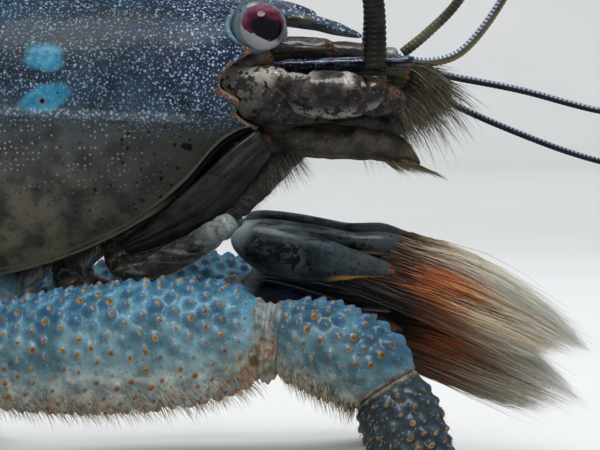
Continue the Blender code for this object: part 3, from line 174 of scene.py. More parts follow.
class Shape:
    """Faces gathered for one piece, with a map in centimetres and painting marks at each point."""

    def __init__(self):
        self.points, self.maps, self.marks, self.quads, self.tris = [], [], [], [], []
        self.count = 0

    def add(self, points, quads, tris, maps, marks):
        points = np.asarray(points, float).reshape(-1, 3)
        quads = np.asarray(quads, int).reshape(-1, 4)
        tris = np.asarray(tris, int).reshape(-1, 3)
        corners = np.concatenate([quads[:, [0, 1, 2]], quads[:, [0, 2, 3]], tris])
        middle = points.mean(axis=0)
        a, b, c = (points[corners[:, k]] - middle for k in range(3))
        if np.einsum("ij,ij->i", a, np.cross(b, c)).sum() < 0:
            quads, tris = quads[:, ::-1], tris[:, ::-1]
        self.quads.append(quads + self.count)
        self.tris.append(tris + self.count)
        self.points.append(points)
        self.maps.append(np.broadcast_to(maps, (len(points), 2)))
        self.marks.append({k: np.broadcast_to(v, (len(points),)) for k, v in marks.items()})
        self.count += len(points)

    def tube(self, grid, maps=None, **marks):
        """A closed tube through rows of points, its ends filled from their middles."""
        rows, columns = grid.shape[:2]
        index = np.arange(rows * columns).reshape(rows, columns)
        following = np.roll(index, -1, axis=1)
        quads = np.stack([index[:-1], following[:-1], following[1:], index[1:]], axis=-1)
        first, last = rows * columns, rows * columns + 1
        start = np.stack([following[0], index[0], np.full(columns, first)], axis=-1)
        end = np.stack([index[-1], following[-1], np.full(columns, last)], axis=-1)
        points = np.vstack([grid.reshape(-1, 3), grid[0].mean(axis=0), grid[-1].mean(axis=0)])
        if maps is None:
            across = np.linspace(0, 1, columns)[None, :] * np.ones((rows, 1))
            along = np.linspace(0, 1, rows)[:, None] * np.ones((1, columns))
            maps = np.stack([across, along], axis=-1)
        self.add(points, quads, np.concatenate([start, end]), capped(maps), capped_all(marks, rows, columns))

    def slab(self, outer, inner, maps, **marks):
        """A closed sheet between two grids of points, joined around their borders."""
        rows, columns = outer.shape[:2]
        index = np.arange(rows * columns).reshape(rows, columns)
        quads = np.stack([index[:-1, :-1], index[:-1, 1:], index[1:, 1:], index[1:, :-1]], axis=-1)
        quads = quads.reshape(-1, 4)
        rim = np.concatenate([index[0, :-1], index[:-1, -1], index[-1, :0:-1], index[:0:-1, 0]])
        onward = np.roll(rim, -1)
        under = rows * columns
        sides = np.stack([rim, rim + under, onward + under, onward], axis=-1)
        points = np.vstack([outer.reshape(-1, 3), inner.reshape(-1, 3)])
        maps = np.vstack([np.asarray(maps).reshape(-1, 2)] * 2)
        flat = {k: np.broadcast_to(v, (rows, columns)).ravel() for k, v in marks.items()}
        both = {k: np.concatenate([v, v]) for k, v in flat.items()}
        both["inside"] = np.concatenate([np.zeros(under), np.ones(under)])
        self.add(points, np.concatenate([quads, quads[:, ::-1] + under, sides]), [], maps, both)

    def strands(self, paths, radius, roots, **marks):
        """Thin tapered hairs. paths is hairs x points x 3, and roots is where each grows on the map."""
        hairs, rings = paths.shape[:2]
        sides = 3
        tangents = unit(np.gradient(paths, axis=1))
        helper = np.array([0.31, 0.83, 0.46])
        across = unit(np.cross(tangents, helper))
        deep = np.cross(tangents, across)
        share = np.linspace(0, 1, rings)
        thick = np.asarray(radius).reshape(-1, 1) * (1 - share[None, :]) ** 0.7
        angles = 2 * math.pi * np.arange(sides) / sides
        body = paths[:, :-1, None] + thick[:, :-1, None, None] * (
            across[:, :-1, None] * np.cos(angles)[:, None] + deep[:, :-1, None] * np.sin(angles)[:, None]
        )
        each = (rings - 1) * sides + 1
        points = np.concatenate([body.reshape(hairs, -1, 3), paths[:, -1:]], axis=1)
        index = np.arange((rings - 1) * sides).reshape(rings - 1, sides)
        onward = np.roll(index, -1, axis=1)
        quads = np.stack([index[:-1], onward[:-1], onward[1:], index[1:]], axis=-1).reshape(-1, 4)
        tip = np.stack([index[-1], onward[-1], np.full(sides, each - 1)], axis=-1)
        tris = np.concatenate([tip, [[2, 1, 0]]])
        starts = (np.arange(hairs) * each)[:, None, None]
        patch = np.stack(
            [
                np.concatenate([np.tile(np.arange(sides) / sides, rings - 1), [0.5]]),
                np.concatenate([np.repeat(share[:-1], sides), [1.0]]),
            ],
            axis=-1,
        )
        maps = roots[:, None, :] + PATCH * patch[None]
        along = np.concatenate([np.repeat(share[:-1], sides), [1.0]])
        spread = {k: np.repeat(np.broadcast_to(v, (hairs,)), each) for k, v in marks.items()}
        spread["along"] = np.tile(along, hairs)
        self.add(
            points.reshape(-1, 3), (quads[None] + starts).reshape(-1, 4),
            (tris[None] + starts).reshape(-1, 3), maps.reshape(-1, 2), spread,
        )

    def place(self, name, material, slot, nodes=(), map_name="Surface"):
        """Makes the piece, which rides on the body and stands for the solids named."""
        points = (np.vstack(self.points) + SHIFT) * MM
        quads, tris = np.vstack(self.quads), np.vstack(self.tris)
        corners = np.concatenate([quads.ravel(), tris.ravel()])
        starts = np.concatenate([np.arange(len(quads)) * 4, len(quads) * 4 + np.arange(len(tris)) * 3])
        mesh = bpy.data.meshes.new(name)
        mesh.vertices.add(len(points))
        mesh.vertices.foreach_set("co", points.astype(np.float32).ravel())
        mesh.loops.add(len(corners))
        mesh.loops.foreach_set("vertex_index", corners.astype(np.int32))
        mesh.polygons.add(len(starts))
        mesh.polygons.foreach_set("loop_start", starts.astype(np.int32))
        mesh.update(calc_edges=True)
        layer = mesh.uv_layers.new(name=map_name)
        layer.data.foreach_set("uv", np.vstack(self.maps)[corners].astype(np.float32).ravel())
        for key in sorted({k for marks in self.marks for k in marks}):
            blank = [np.zeros(len(p)) for p in self.points]
            values = np.concatenate([m.get(key, b) for m, b in zip(self.marks, blank)])
            mesh.attributes.new(key, "FLOAT", "POINT").data.foreach_set("value", values.astype(np.float32))
        mesh.polygons.foreach_set("use_smooth", np.ones(len(starts), bool))
        mesh.materials.append(material)
        piece = bpy.data.objects.new(name, mesh)
        bpy.context.scene.collection.objects.link(piece)
        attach(piece, "root")
        if nodes:
            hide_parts(*nodes)
        return piece


def capped(grid_values):
    """Values of a tube's grid, with one more at each end for the middles of its caps."""
    flat = np.asarray(grid_values, float)
    rows = flat.shape[0] * flat.shape[1]
    flat2 = flat.reshape(rows, -1)
    return np.vstack([flat2, flat2[:1], flat2[-1:]])


def capped_all(marks, rows, columns):
    return {k: capped(np.broadcast_to(v, (rows, columns)))[:, 0] for k, v in marks.items()}


class Limb:
    """Points of an elliptical limb. Its rows hold x, y, z, half thickness and half depth, as in the solids."""

    def __init__(self, rows, side, around, along, first=0, last=None, dome=(0.0, 0.0)):
        self.values, self.tangents, self.length = even(rows, along, first, last)
        side = np.asarray(side, float)
        self.across = unit(side - (self.tangents @ side)[:, None] * self.tangents)
        self.deep = np.cross(self.tangents, self.across)
        self.angle = 2 * math.pi * np.arange(around) / around
        self.s = np.linspace(0, self.length, along)[:, None]
        self.share = self.s / self.length
        factor = np.ones_like(self.s)
        for distance, reach in ((self.s, dome[0]), (self.length - self.s, dome[1])):
            if reach:
                factor = factor * np.sqrt(np.clip(1 - (1 - np.minimum(1, distance / reach)) ** 2, 0.003, 1))
        thick, depth = self.values[:, 3:4] * factor, self.values[:, 4:5] * factor
        self.girth = 2 * math.pi * np.sqrt((thick**2 + depth**2) / 2)
        out = self.across[:, None] * np.cos(self.angle)[:, None] + self.deep[:, None] * np.sin(self.angle)[:, None]
        flat = self.across[:, None] * (np.cos(self.angle) * thick)[..., None]
        self.grid = self.values[:, None, :3] + flat + self.deep[:, None] * (np.sin(self.angle) * depth)[..., None]
        self.out = out
        self.up = out[..., 2]
        around_mm = self.angle[None, :] / (2 * math.pi) * self.girth.max()
        ones = np.ones_like(self.s)
        self.maps = np.stack([ones * around_mm, self.s * np.ones_like(around_mm)], axis=-1) / 10

    def raised(self, height, lean=0.0):
        """The grid moved outwards by a height, and along the limb by lean times that."""
        height = np.asarray(height)[..., None] * np.ones_like(self.grid)
        return self.grid + self.out * height + self.tangents[:, None] * height * lean


def studs(limb, spacing, radius, seed):
    """1 at the tip of each stud of a staggered, slightly jittered lattice over a limb, 0 off them."""
    rng = np.random.default_rng(seed)
    columns = max(4, int(round(limb.girth.max() / spacing)))
    pitch = spacing * 0.87
    rows = int(limb.length / pitch) + 4
    jitter = rng.uniform(-0.17, 0.17, (rows, columns, 2))
    size = rng.uniform(0.72, 1.15, (rows, columns))
    a = limb.s / pitch + 1
    b = limb.angle[None, :] / (2 * math.pi) * columns
    best = np.zeros((len(limb.s), len(limb.angle)))
    for row_step in (-1, 0, 1, 2):
        row = np.floor(a).astype(int) + row_step
        stagger = 0.5 * (row % 2)
        held = np.clip(row, 0, rows - 1)
        for column_step in (-1, 0, 1):
            column = np.floor(b - stagger).astype(int) + column_step
            wrapped = column % columns
            da = (a - row - jitter[held, wrapped, 0]) * pitch
            db = (b - stagger - column - 0.5 - jitter[held, wrapped, 1]) * limb.girth / columns
            distance = np.sqrt(da**2 + db**2) / size[held, wrapped]
            best = np.maximum(best, 1 - distance / radius)
    return np.clip(best, 0, 1)


class Paint:
    """Builds a material. Numbers go straight into sockets, and sockets given as values are linked."""

    def __init__(self, name):
        self.material = bpy.data.materials.new(name)
        self.material.use_nodes = True
        self.tree = self.material.node_tree
        self.shader = self.tree.nodes["Principled BSDF"]
        where = self.node("ShaderNodeTexCoord").outputs["Object"]
        scale, back = (1 / MM,) * 3, tuple(float(-v) for v in SHIFT)
        self.spot_at = self.vector("MULTIPLY_ADD", where, scale, back)
        self.surface = None

    def node(self, kind, inputs=None, **settings):
        made = self.tree.nodes.new(kind)
        for key, value in settings.items():
            setattr(made, key, value)
        for key, value in (inputs or {}).items():
            self.put(made.inputs[key], value)
        return made

    def put(self, socket, value):
        if isinstance(value, bpy.types.NodeSocket):
            self.tree.links.new(value, socket)
        else:
            socket.default_value = value

    def vector(self, operation, *values):
        return self.node("ShaderNodeVectorMath", dict(enumerate(values)), operation=operation).outputs["Vector"]

    def math(self, operation, *values, clamp=False):
        made = self.node("ShaderNodeMath", dict(enumerate(values)), operation=operation, use_clamp=clamp)
        return made.outputs["Value"]

    def step(self, value, low, high):
        """0 up to low and 1 from high, softly in between. Low may be the greater."""
        inputs = {"Value": value, "From Min": low, "From Max": high}
        return self.node("ShaderNodeMapRange", inputs, interpolation_type="SMOOTHSTEP").outputs["Result"]

    def times(self, *values):
        total = values[0]
        for value in values[1:]:
            total = self.math("MULTIPLY", total, value)
        return total

    def most(self, *values):
        total = values[0]
        for value in values[1:]:
            total = self.math("MAXIMUM", total, value)
        return total

    def less(self, value):
        return self.math("SUBTRACT", 1.0, value)

    def mark(self, name):
        return self.node("ShaderNodeAttribute", attribute_name=name).outputs["Fac"]

    def parts(self, vector):
        return self.node("ShaderNodeSeparateXYZ", {0: vector}).outputs

    def spot_y(self):
        """Distance from the middle plane."""
        return self.math("ABSOLUTE", self.parts(self.spot_at)["Y"])

    def warped(self, amount):
        """The point moved about by up to an amount, which makes the outline of a marking uneven."""
        inputs = {"Vector": self.spot_at, "Scale": 0.9, "Detail": 3.0}
        cloud = self.node("ShaderNodeTexNoise", inputs).outputs["Color"]
        return self.vector("ADD", self.spot_at, self.vector("MULTIPLY_ADD", cloud, (4 * amount,) * 3, (-2 * amount,) * 3))

    def on_surface(self):
        """The piece's own map, in millimetres."""
        if self.surface is None:
            flat = self.node("ShaderNodeUVMap", uv_map="Surface").outputs["UV"]
            self.surface = self.vector("MULTIPLY", flat, (10.0, 10.0, 10.0))
        return self.surface

    def noise(self, size, detail=2.0, stretch=None, vector=None):
        """Cloudy field from 0 to 1, in blotches of about size millimetres."""
        vector = vector or self.spot_at
        if stretch:
            vector = self.vector("MULTIPLY", vector, stretch)
        inputs = {"Vector": vector, "Scale": 1 / size, "Detail": detail}
        return self.node("ShaderNodeTexNoise", inputs).outputs["Fac"]

    def dots(self, spacing, radius, keep=1.0, scatter=0.8, flat=True, core=0.5):
        """Round dots on a scattered lattice over the surface. keep is the share of places with one."""
        vector = self.on_surface() if flat else self.spot_at
        inputs = {"Vector": vector, "Scale": 1 / spacing, "Randomness": scatter}
        cells = self.node("ShaderNodeTexVoronoi", inputs, voronoi_dimensions="2D" if flat else "3D")
        chance = self.parts(cells.outputs["Color"])["X"]
        held = self.step(chance, 1 - keep - 0.001, 1 - keep + 0.05)
        return self.times(self.step(cells.outputs["Distance"], radius / spacing, core * radius / spacing), held)

    def spot(self, centre, radii, turn=0.0, soft=0.3, vector=None):
        """1 inside an ellipse in the side view, on both flanks. turn tilts it up towards the front."""
        x, _, z = (self.parts(vector or self.spot_at)[k] for k in "XYZ")
        dx, dz = self.math("SUBTRACT", x, centre[0]), self.math("SUBTRACT", z, centre[1])
        c, s = math.cos(math.radians(turn)), math.sin(math.radians(turn))
        along = self.math("ADD", self.times(dx, c / radii[0]), self.times(dz, s / radii[0]))
        across = self.math("SUBTRACT", self.times(dz, c / radii[1]), self.times(dx, s / radii[1]))
        squares = self.math("ADD", self.times(along, along), self.times(across, across))
        return self.step(self.math("SQRT", squares), 1 + soft, 1 - soft)

    def mix(self, factor, a, b):
        made = self.node("ShaderNodeMix", data_type="RGBA")
        for number, value in ((0, factor), (6, a), (7, b)):
            self.put(made.inputs[number], value)
        return made.outputs[2]

    def ramp(self, factor, *stops):
        made = self.node("ShaderNodeValToRGB", {"Fac": factor})
        elements = made.color_ramp.elements
        while len(elements) < len(stops):
            elements.new(0.5)
        for element, (place, colour) in zip(elements, stops):
            element.position = place
            element.color = colour
        return made.outputs["Color"]

    def finish(self, colour, roughness=0.35, height=None, depth=0.05, **numbers):
        """depth is how far a height of 1 stands out, in millimetres."""
        self.put(self.shader.inputs["Base Color"], colour)
        self.put(self.shader.inputs["Roughness"], roughness)
        for key, value in numbers.items():
            self.shader.inputs[key.replace("_", " ")].default_value = value
        if height is not None:
            bump = self.node("ShaderNodeBump", {"Height": height, "Distance": depth * MM, "Strength": 1.0})
            self.tree.links.new(bump.outputs["Normal"], self.shader.inputs["Normal"])
        return self.material


# Materials

RIDGE_AT, RIDGE_SLOPE = (-5.5, 29.2), -0.04  # pale beaded line along the flank


def shell_paint():
    """Carapace: slate blue above and brown-grey below, sparkling with pale dots."""
    p = Paint("shell")
    x, _, z = (p.parts(p.spot_at)[k] for k in "XYZ")
    wavy = p.math("MULTIPLY_ADD", p.noise(5.0), 1.6, -0.8)
    ridge_z = p.math("MULTIPLY_ADD", x, RIDGE_SLOPE, RIDGE_AT[1] - RIDGE_SLOPE * RIDGE_AT[0])
    above = p.math("SUBTRACT", p.math("ADD", z, wavy), ridge_z)
    upper = p.step(above, -2.0, 1.6)
    cloud = p.noise(2.6, 4.0)
    slate = p.mix(p.step(cloud, 0.36, 0.64), rgb(22, 33, 42), rgb(42, 58, 72))
    near_eye = p.step(x, -14.0, -4.0)
    slate = p.mix(p.times(near_eye, p.step(above, 1.0, 5.0)), slate, rgb(50, 58, 84))
    streak = p.noise(1.5, 3.0, (0.16, 0.6, 1.0))
    high = p.step(above, 4.5, 8.0)
    slate = p.mix(p.times(high, p.step(streak, 0.53, 0.60), 0.75), slate, rgb(46, 56, 42))
    slate = p.mix(p.times(high, p.step(streak, 0.45, 0.38), 0.8), slate, rgb(30, 76, 108))
    # Darker towards the top: painted shade that offsets the light falling on the upper carapace.
    slate = p.mix(p.times(p.step(above, 0.5, 5.5), 0.74), slate, rgb(7, 22, 31))
    hind_top = p.times(p.step(x, -9.0, -20.0), p.step(above, 3.5, 7.5), 0.6)
    slate = p.mix(hind_top, slate, rgb(12, 46, 62))
    low = p.mix(p.step(z, 20.0, 29.0), rgb(100, 94, 78), rgb(68, 72, 74))
    low = p.mix(p.step(x, -16.0, -4.0), low, rgb(56, 56, 50))
    low = p.mix(p.step(p.noise(1.9, 4.0), 0.35, 0.7), low, rgb(50, 51, 48))
    colour = p.mix(upper, low, slate)
    back = p.step(p.spot_y(), 4.6, 1.6)
    colour = p.mix(p.times(back, 0.55), colour, rgb(66, 72, 62))

    first = p.spot((-16.4, 33.9), (1.4, 1.05), 0, 0.25, p.warped(0.3))
    second = p.spot((-16.2, 30.75), (1.85, 1.0), 17, 0.2, p.warped(0.18))
    patches = p.most(first, second, p.times(p.spot((-27.5, 33.2), (1.7, 1.0), -12, 0.3, p.warped(0.6)), 0.8))
    blue = p.mix(p.step(p.noise(0.6), 0.3, 0.8), rgb(36, 108, 140), rgb(66, 148, 172))
    colour = p.mix(p.times(patches, 0.85), colour, blue)

    grain = p.dots(0.27, 0.1, 0.95, 1.0, flat=False, core=0.6)
    fine = p.dots(0.19, 0.07, 0.8, 1.0, flat=False, core=0.6)
    bold = p.dots(0.4, 0.12, 0.42, 1.0, flat=False, core=0.75)
    lively = p.most(p.times(near_eye, 0.95), p.math("MULTIPLY_ADD", p.noise(3.0), 0.6, 0.25))
    dotted = p.times(p.most(p.times(grain, 0.75), p.times(fine, 0.4), bold), upper, lively)
    dotted = p.times(dotted, p.less(p.times(patches, 0.7)))
    colour = p.mix(dotted, colour, p.mix(p.noise(0.9), rgb(108, 146, 192), rgb(182, 200, 222)))
    lattice = p.times(p.dots(0.42, 0.12, 0.95, 0.5, flat=False), p.less(upper), p.step(z, 21.0, 27.0), p.step(x, -5.0, -12.0))
    colour = p.mix(p.times(lattice, 0.6), colour, rgb(146, 152, 154))
    pits = p.times(p.step(p.noise(0.4, 2.0), 0.55, 0.65), p.less(upper))
    colour = p.mix(p.times(pits, 0.25), colour, rgb(40, 38, 36))

    line = p.step(p.math("ABSOLUTE", p.math("SUBTRACT", above, wavy)), 0.5, 0.1)
    reach = p.times(p.step(x, -30.0, -20.0), p.step(x, -4.6, -6.5))
    beads = p.most(p.dots(0.3, 0.14, 0.9, flat=False), 0.15)
    colour = p.mix(p.times(line, reach, beads, 0.7), colour, rgb(158, 172, 184))

    freckles = p.most(
        p.dots(0.8, 0.17, 0.9, 1.0, flat=False, core=0.75), p.dots(0.5, 0.1, 0.5, 1.0, flat=False, core=0.75),
    )
    freckles = p.times(freckles, p.less(upper), p.math("MULTIPLY_ADD", p.step(x, -15.0, -8.5), 0.6, 0.4))
    blots = p.spot((-5.65, 27.05), (0.46, 0.27), -8, 0.15, p.warped(0.16))
    blots = p.most(blots, p.spot((-16.45, 30.5), (0.18, 0.19), 0, 0.2), p.spot((-15.3, 31.1), (0.08, 0.1), 0, 0.2))
    for place, size in (((-7.7, 24.6), 0.17), ((-12.6, 23.8), 0.13), ((-4.2, 25.9), 0.12), ((-7.0, 22.6), 0.1)):
        blots = p.most(blots, p.spot(place, (size, size), 0, 0.3))
    ring = p.times(p.spot((-16.45, 30.42), (0.3, 0.3), 0, 0.25), 0.6)
    colour = p.mix(ring, colour, rgb(110, 100, 60))
    colour = p.mix(p.most(freckles, blots), colour, rgb(16, 14, 14))

    front, ahead = p.mark("front"), p.step(x, -10.5, -6.5)
    hem = p.math("SUBTRACT", p.mark("hem"), p.times(ahead, 0.42))
    colour = p.mix(p.times(p.step(hem, 0.95, 0.7), p.step(hem, 0.5, 0.6), 0.6), colour, rgb(104, 98, 84))
    colour = p.mix(p.times(p.step(hem, 0.56, 0.46), p.most(ahead, 0.25)), colour, rgb(10, 9, 10))
    tan = p.times(p.step(hem, 0.45, 0.3), p.less(ahead), 0.8)
    colour = p.mix(tan, colour, rgb(118, 106, 80))
    flame = p.times(p.step(front, 0.75, 0.3), p.step(z, 28.6, 29.8), p.step(z, 35.0, 34.4))
    flame = p.times(flame, p.step(p.noise(0.9, 3.0), 0.42, 0.6))
    colour = p.mix(p.times(flame, 0.75), colour, rgb(124, 74, 30))
    colour = p.mix(p.times(p.step(front, 0.2, 0.08), p.step(z, 35.0, 34.4), 0.6), colour, rgb(150, 132, 98))
    orbit = p.times(p.step(front, 0.6, 0.3), p.step(z, 34.6, 35.4), p.step(z, 38.4, 37.8))
    colour = p.mix(p.times(orbit, 0.7), colour, rgb(104, 138, 150))
    colour = p.mix(p.mark("inside"), colour, rgb(34, 30, 27))
    height = p.math("ADD", p.times(p.most(dotted, lattice), 0.6), p.times(p.noise(0.35, 3.0), 0.8))
    return p.finish(
        colour, p.math("MULTIPLY_ADD", cloud, 0.25, 0.24), height, 0.045,
        Coat_Weight=0.05, Coat_Roughness=0.1, Specular_IOR_Level=0.15,
    )


def abdomen_paint():
    """Hoops and tail: olive-slate above, tan below, with pale dots and a pale hind hem."""
    p = Paint("hoop")
    level, hem = p.mark("level"), p.mark("hem")
    cloud = p.noise(2.2, 4.0)
    top = p.mix(p.step(cloud, 0.35, 0.65), rgb(44, 62, 74), rgb(78, 96, 106))
    low = p.mix(p.step(cloud, 0.35, 0.65), rgb(70, 70, 62), rgb(104, 102, 90))
    colour = p.mix(p.step(level, 0.2, 0.62), low, top)
    middle = p.times(p.step(level, 0.88, 0.998), p.step(p.noise(1.8, 4.0), 0.3, 0.62), 0.75)
    colour = p.mix(middle, colour, rgb(112, 120, 108))
    dots = p.most(p.dots(0.4, 0.12, 0.55, flat=True), p.dots(0.7, 0.16, 0.3, 1.0, flat=True))
    colour = p.mix(p.times(dots, 0.55), colour, rgb(164, 186, 206))
    specks = p.dots(1.1, 0.17, 0.35, 1.0, flat=True)
    colour = p.mix(p.times(specks, 0.8), colour, rgb(20, 18, 18))
    band = p.times(p.step(hem, 1.5, 0.9), p.step(hem, 0.35, 0.5))
    colour = p.mix(p.times(band, 0.6), colour, rgb(36, 44, 50))
    colour = p.mix(p.times(p.step(hem, 0.42, 0.3), 0.8), colour, rgb(140, 128, 98))
    colour = p.mix(p.times(p.mark("ridge"), 0.6), colour, rgb(160, 168, 160))
    under = p.mix(p.step(cloud, 0.35, 0.65), rgb(40, 40, 38), rgb(78, 76, 68))
    colour = p.mix(p.times(p.mark("inside"), 0.85), colour, under)
    height = p.math("ADD", p.times(dots, 0.6), p.times(p.noise(0.4, 3.0), 0.8))
    return p.finish(
        colour, p.math("MULTIPLY_ADD", cloud, 0.25, 0.25), height, 0.03,
        Coat_Weight=0.18, Coat_Roughness=0.15, Specular_IOR_Level=0.35,
    )


def horn_paint(
    name, dark, light, speck=(190, 190, 180), speck_share=0.35, size=1.2, joint=(150, 92, 44), blotches=0.6,
    pale=(152, 162, 158), gleam=0.0,
):
    """Mottled brown or grey skin of a limb, paler at its joints."""
    p = Paint(name)
    cloud = p.noise(size, 4.0)
    colour = p.mix(p.step(cloud, 0.38, 0.62), rgb(*dark), rgb(*light))
    under = p.step(p.mark("up"), 0.1, -0.8)
    colour = p.mix(p.times(under, 0.35), colour, rgb(*light))
    streak = p.noise(0.5, 2.0, (0.25, 1.0, 1.0))
    colour = p.mix(p.times(p.step(streak, 0.58, 0.68), 0.5), colour, rgb(*dark))
    if gleam:
        glassy = p.step(p.noise(0.4, 3.0, (0.13, 1.0, 1.0)), 0.5, 0.68)
        colour = p.mix(p.times(glassy, gleam), colour, rgb(*pale))
    dots = p.dots(0.26, 0.07, speck_share, 1.0)
    colour = p.mix(p.times(dots, 0.45), colour, rgb(*speck))
    blot = p.step(p.noise(0.6, 4.0), 0.53, 0.57)
    black = p.most(p.times(blot, blotches), p.dots(0.7, 0.12, 0.3, 1.0))
    colour = p.mix(p.times(p.mark("joint"), p.step(p.noise(0.6, 3.0), 0.4, 0.6), 0.75), colour, rgb(*joint))
    # The pale mark also carries a painted highlight on the antenna stalk.
    colour = p.mix(p.times(p.mark("pale"), 0.8), colour, rgb(*pale))
    colour = p.mix(p.times(p.step(p.noise(0.22, 4.0), 0.5, 0.62), 0.35), colour, rgb(*dark))
    colour = p.mix(p.times(black, 0.9), colour, rgb(10, 9, 9))
    height = p.math("ADD", p.times(cloud, 0.7), p.times(p.noise(0.22, 3.0), 0.6))
    return p.finish(
        colour, p.math("MULTIPLY_ADD", cloud, 0.2, 0.3), height, 0.06,
        Coat_Weight=0.5, Coat_Roughness=0.07, Specular_IOR_Level=0.3,
    )


def feeler_paint(name, dark, pale, bead, beads=0.0, under=None):
    """Ringed feeler. A pale line runs around each ring, and a painted highlight lies on the crown of each ring on its
    upper side.
    """
    p = Paint(name)
    ring, up = p.mark("ring"), p.mark("up")
    cloud = p.noise(1.6, 3.0)
    colour = p.mix(p.step(cloud, 0.35, 0.65), rgb(*dark), tuple(0.6 * c for c in rgb(*pale)[:3]) + (1.0,))
    if under:
        colour = p.mix(p.times(p.step(up, 0.1, -0.5), 0.85), colour, rgb(*under))
    groove = p.step(p.math("ABSOLUTE", p.math("SUBTRACT", ring, 0.5)), 0.34, 0.46)
    colour = p.mix(p.times(groove, 0.75), colour, rgb(*pale))
    # Painted highlight: the bead colour on the crown of each ring, on its upper side only.
    painted_crown_highlight = p.step(p.math("ABSOLUTE", p.math("SUBTRACT", ring, 0.5)), 0.3, 0.12)
    colour = p.mix(p.times(painted_crown_highlight, p.step(up, 0.0, 0.8), beads), colour, rgb(*bead))
    return p.finish(colour, p.math("MULTIPLY_ADD", cloud, 0.2, 0.2), p.noise(0.15, 2.0), 0.02, Coat_Weight=0.15, Specular_IOR_Level=0.3)


def scale_paint():
    """Antennal scale: glossy dark blue rib with pale beads and painted highlight streaks, and a thin grey-brown blade
    with a gold hem.
    """
    p = Paint("leaf_scale")
    rib, edge = p.mark("rib"), p.mark("hem")
    cloud = p.noise(1.0, 4.0)
    blade = p.mix(p.step(cloud, 0.35, 0.65), rgb(24, 21, 17), rgb(64, 59, 49))
    veins = p.step(p.noise(0.35, 2.0, (0.12, 1.0, 1.0)), 0.52, 0.62)
    blade = p.mix(p.times(veins, 0.35), blade, rgb(96, 92, 78))
    rust = p.times(p.step(edge, 1.3, 0.3), p.step(p.noise(0.8, 3.0), 0.42, 0.55))
    blade = p.mix(p.times(rust, 0.8), blade, rgb(158, 100, 44))
    # Painted highlight: pale streaks along the rib, with the pale beads added to them.
    gleam = p.times(p.step(p.noise(0.5, 3.0, (0.3, 1.0, 1.0)), 0.52, 0.62), 0.5)
    gleam = p.most(gleam, p.dots(0.22, 0.08, 0.6, 1.0, flat=False))
    ribbed = p.mix(gleam, rgb(10, 14, 34), rgb(120, 146, 190))
    colour = p.mix(rib, blade, ribbed)
    height = p.math("ADD", p.times(veins, 0.8), cloud)
    return p.finish(colour, 0.26, height, 0.05, Coat_Weight=0.5, Coat_Roughness=0.1)


def rostrum_paint():
    p = Paint("beak")
    up = p.mark("up")
    cloud = p.noise(0.9, 3.0)
    colour = p.mix(p.step(cloud, 0.35, 0.65), rgb(34, 48, 62), rgb(72, 88, 108))
    colour = p.mix(p.times(p.mark("olive"), 0.85), colour, rgb(74, 76, 44))
    dots = p.most(p.dots(0.3, 0.11, 0.8, 1.0, flat=False), p.dots(0.45, 0.14, 0.5, 1.0, flat=False))
    colour = p.mix(p.times(dots, p.step(up, -0.5, 0.2), 0.85), colour, rgb(196, 212, 236))
    colour = p.mix(p.times(p.step(up, -0.3, -0.8), 0.7), colour, rgb(112, 112, 102))
    return p.finish(colour, 0.24, p.math("ADD", dots, cloud), 0.03, Coat_Weight=0.5, Coat_Roughness=0.1)


def eye_paint():
    """Glossy eye: a crimson ball with a black blot seen through a clear rim, pale behind and below, and a painted
    highlight on top of the ball.
    """
    p = Paint("eye_gloss")
    x, _, z = (p.parts(p.spot_at)[k] for k in "XYZ")
    dx, dz = p.math("SUBTRACT", x, EYE_CENTRE[0]), p.math("SUBTRACT", z, EYE_CENTRE[2])
    smoky = p.mix(p.step(p.noise(0.5, 3.0), 0.35, 0.65), rgb(66, 80, 90), rgb(104, 116, 124))
    low = p.math("ADD", p.times(dx, -0.45), p.times(dz, -0.88))
    colour = p.mix(p.step(low, 0.2, 0.75), smoky, rgb(156, 158, 160))
    mottle = p.step(p.noise(0.5, 2.0), 0.3, 0.7)
    crimson = p.mix(mottle, rgb(60, 18, 34), rgb(114, 44, 68))
    # Painted highlight: the top of the crimson ball turns pale purple.
    crimson = p.mix(p.times(p.step(dz, 0.9, 1.5), 0.4), crimson, rgb(120, 84, 104))
    ball = p.spot((EYE_CENTRE[0] + 0.05, EYE_CENTRE[2] + 0.22), (1.6, 1.5), 0, 0.05)
    wavy = p.math("ADD", p.times(p.noise(1.1), 0.7), p.times(p.noise(0.35), 0.3))
    lid = p.math("ADD", p.math("MULTIPLY_ADD", dx, 0.5, wavy), dz)
    ball = p.times(ball, p.step(lid, -0.4, -0.2))
    colour = p.mix(ball, colour, crimson)
    pupil = p.spot((EYE_CENTRE[0] + 0.42, EYE_CENTRE[2] - 0.2), (1.5, 1.0), -30, 0.3, p.warped(0.14))
    colour = p.mix(p.times(pupil, ball), colour, rgb(8, 6, 10))
    return p.finish(
        colour, 0.12, p.noise(0.1, 1.0), 0.003, Coat_Weight=1.0, Coat_Roughness=0.02, Coat_IOR=1.3, Specular_IOR_Level=0.1,
    )


def hair_paint(name, stops, pale, pale_share=0.3, gloss=0.35):
    """Hairs coloured along their length, with a share of them paler."""
    p = Paint(name)
    along, tone = p.mark("along"), p.mark("shade")
    moved = p.math("ADD", along, p.math("MULTIPLY_ADD", tone, 0.3, -0.15))
    colour = p.ramp(moved, *((place, rgb(*c)) for place, c in stops))
    chosen = p.step(tone, 1 - pale_share, 1 - pale_share + 0.04)
    colour = p.mix(p.times(chosen, p.step(along, 0.1, 0.45), 0.8), colour, rgb(*pale))
    fine = p.noise(0.3, 2.0)
    colour = p.mix(p.times(p.step(fine, 0.5, 0.75), 0.35), colour, rgb(*stops[0][1]))
    return p.finish(colour, gloss, None, Sheen_Weight=0.1, Specular_IOR_Level=0.5)


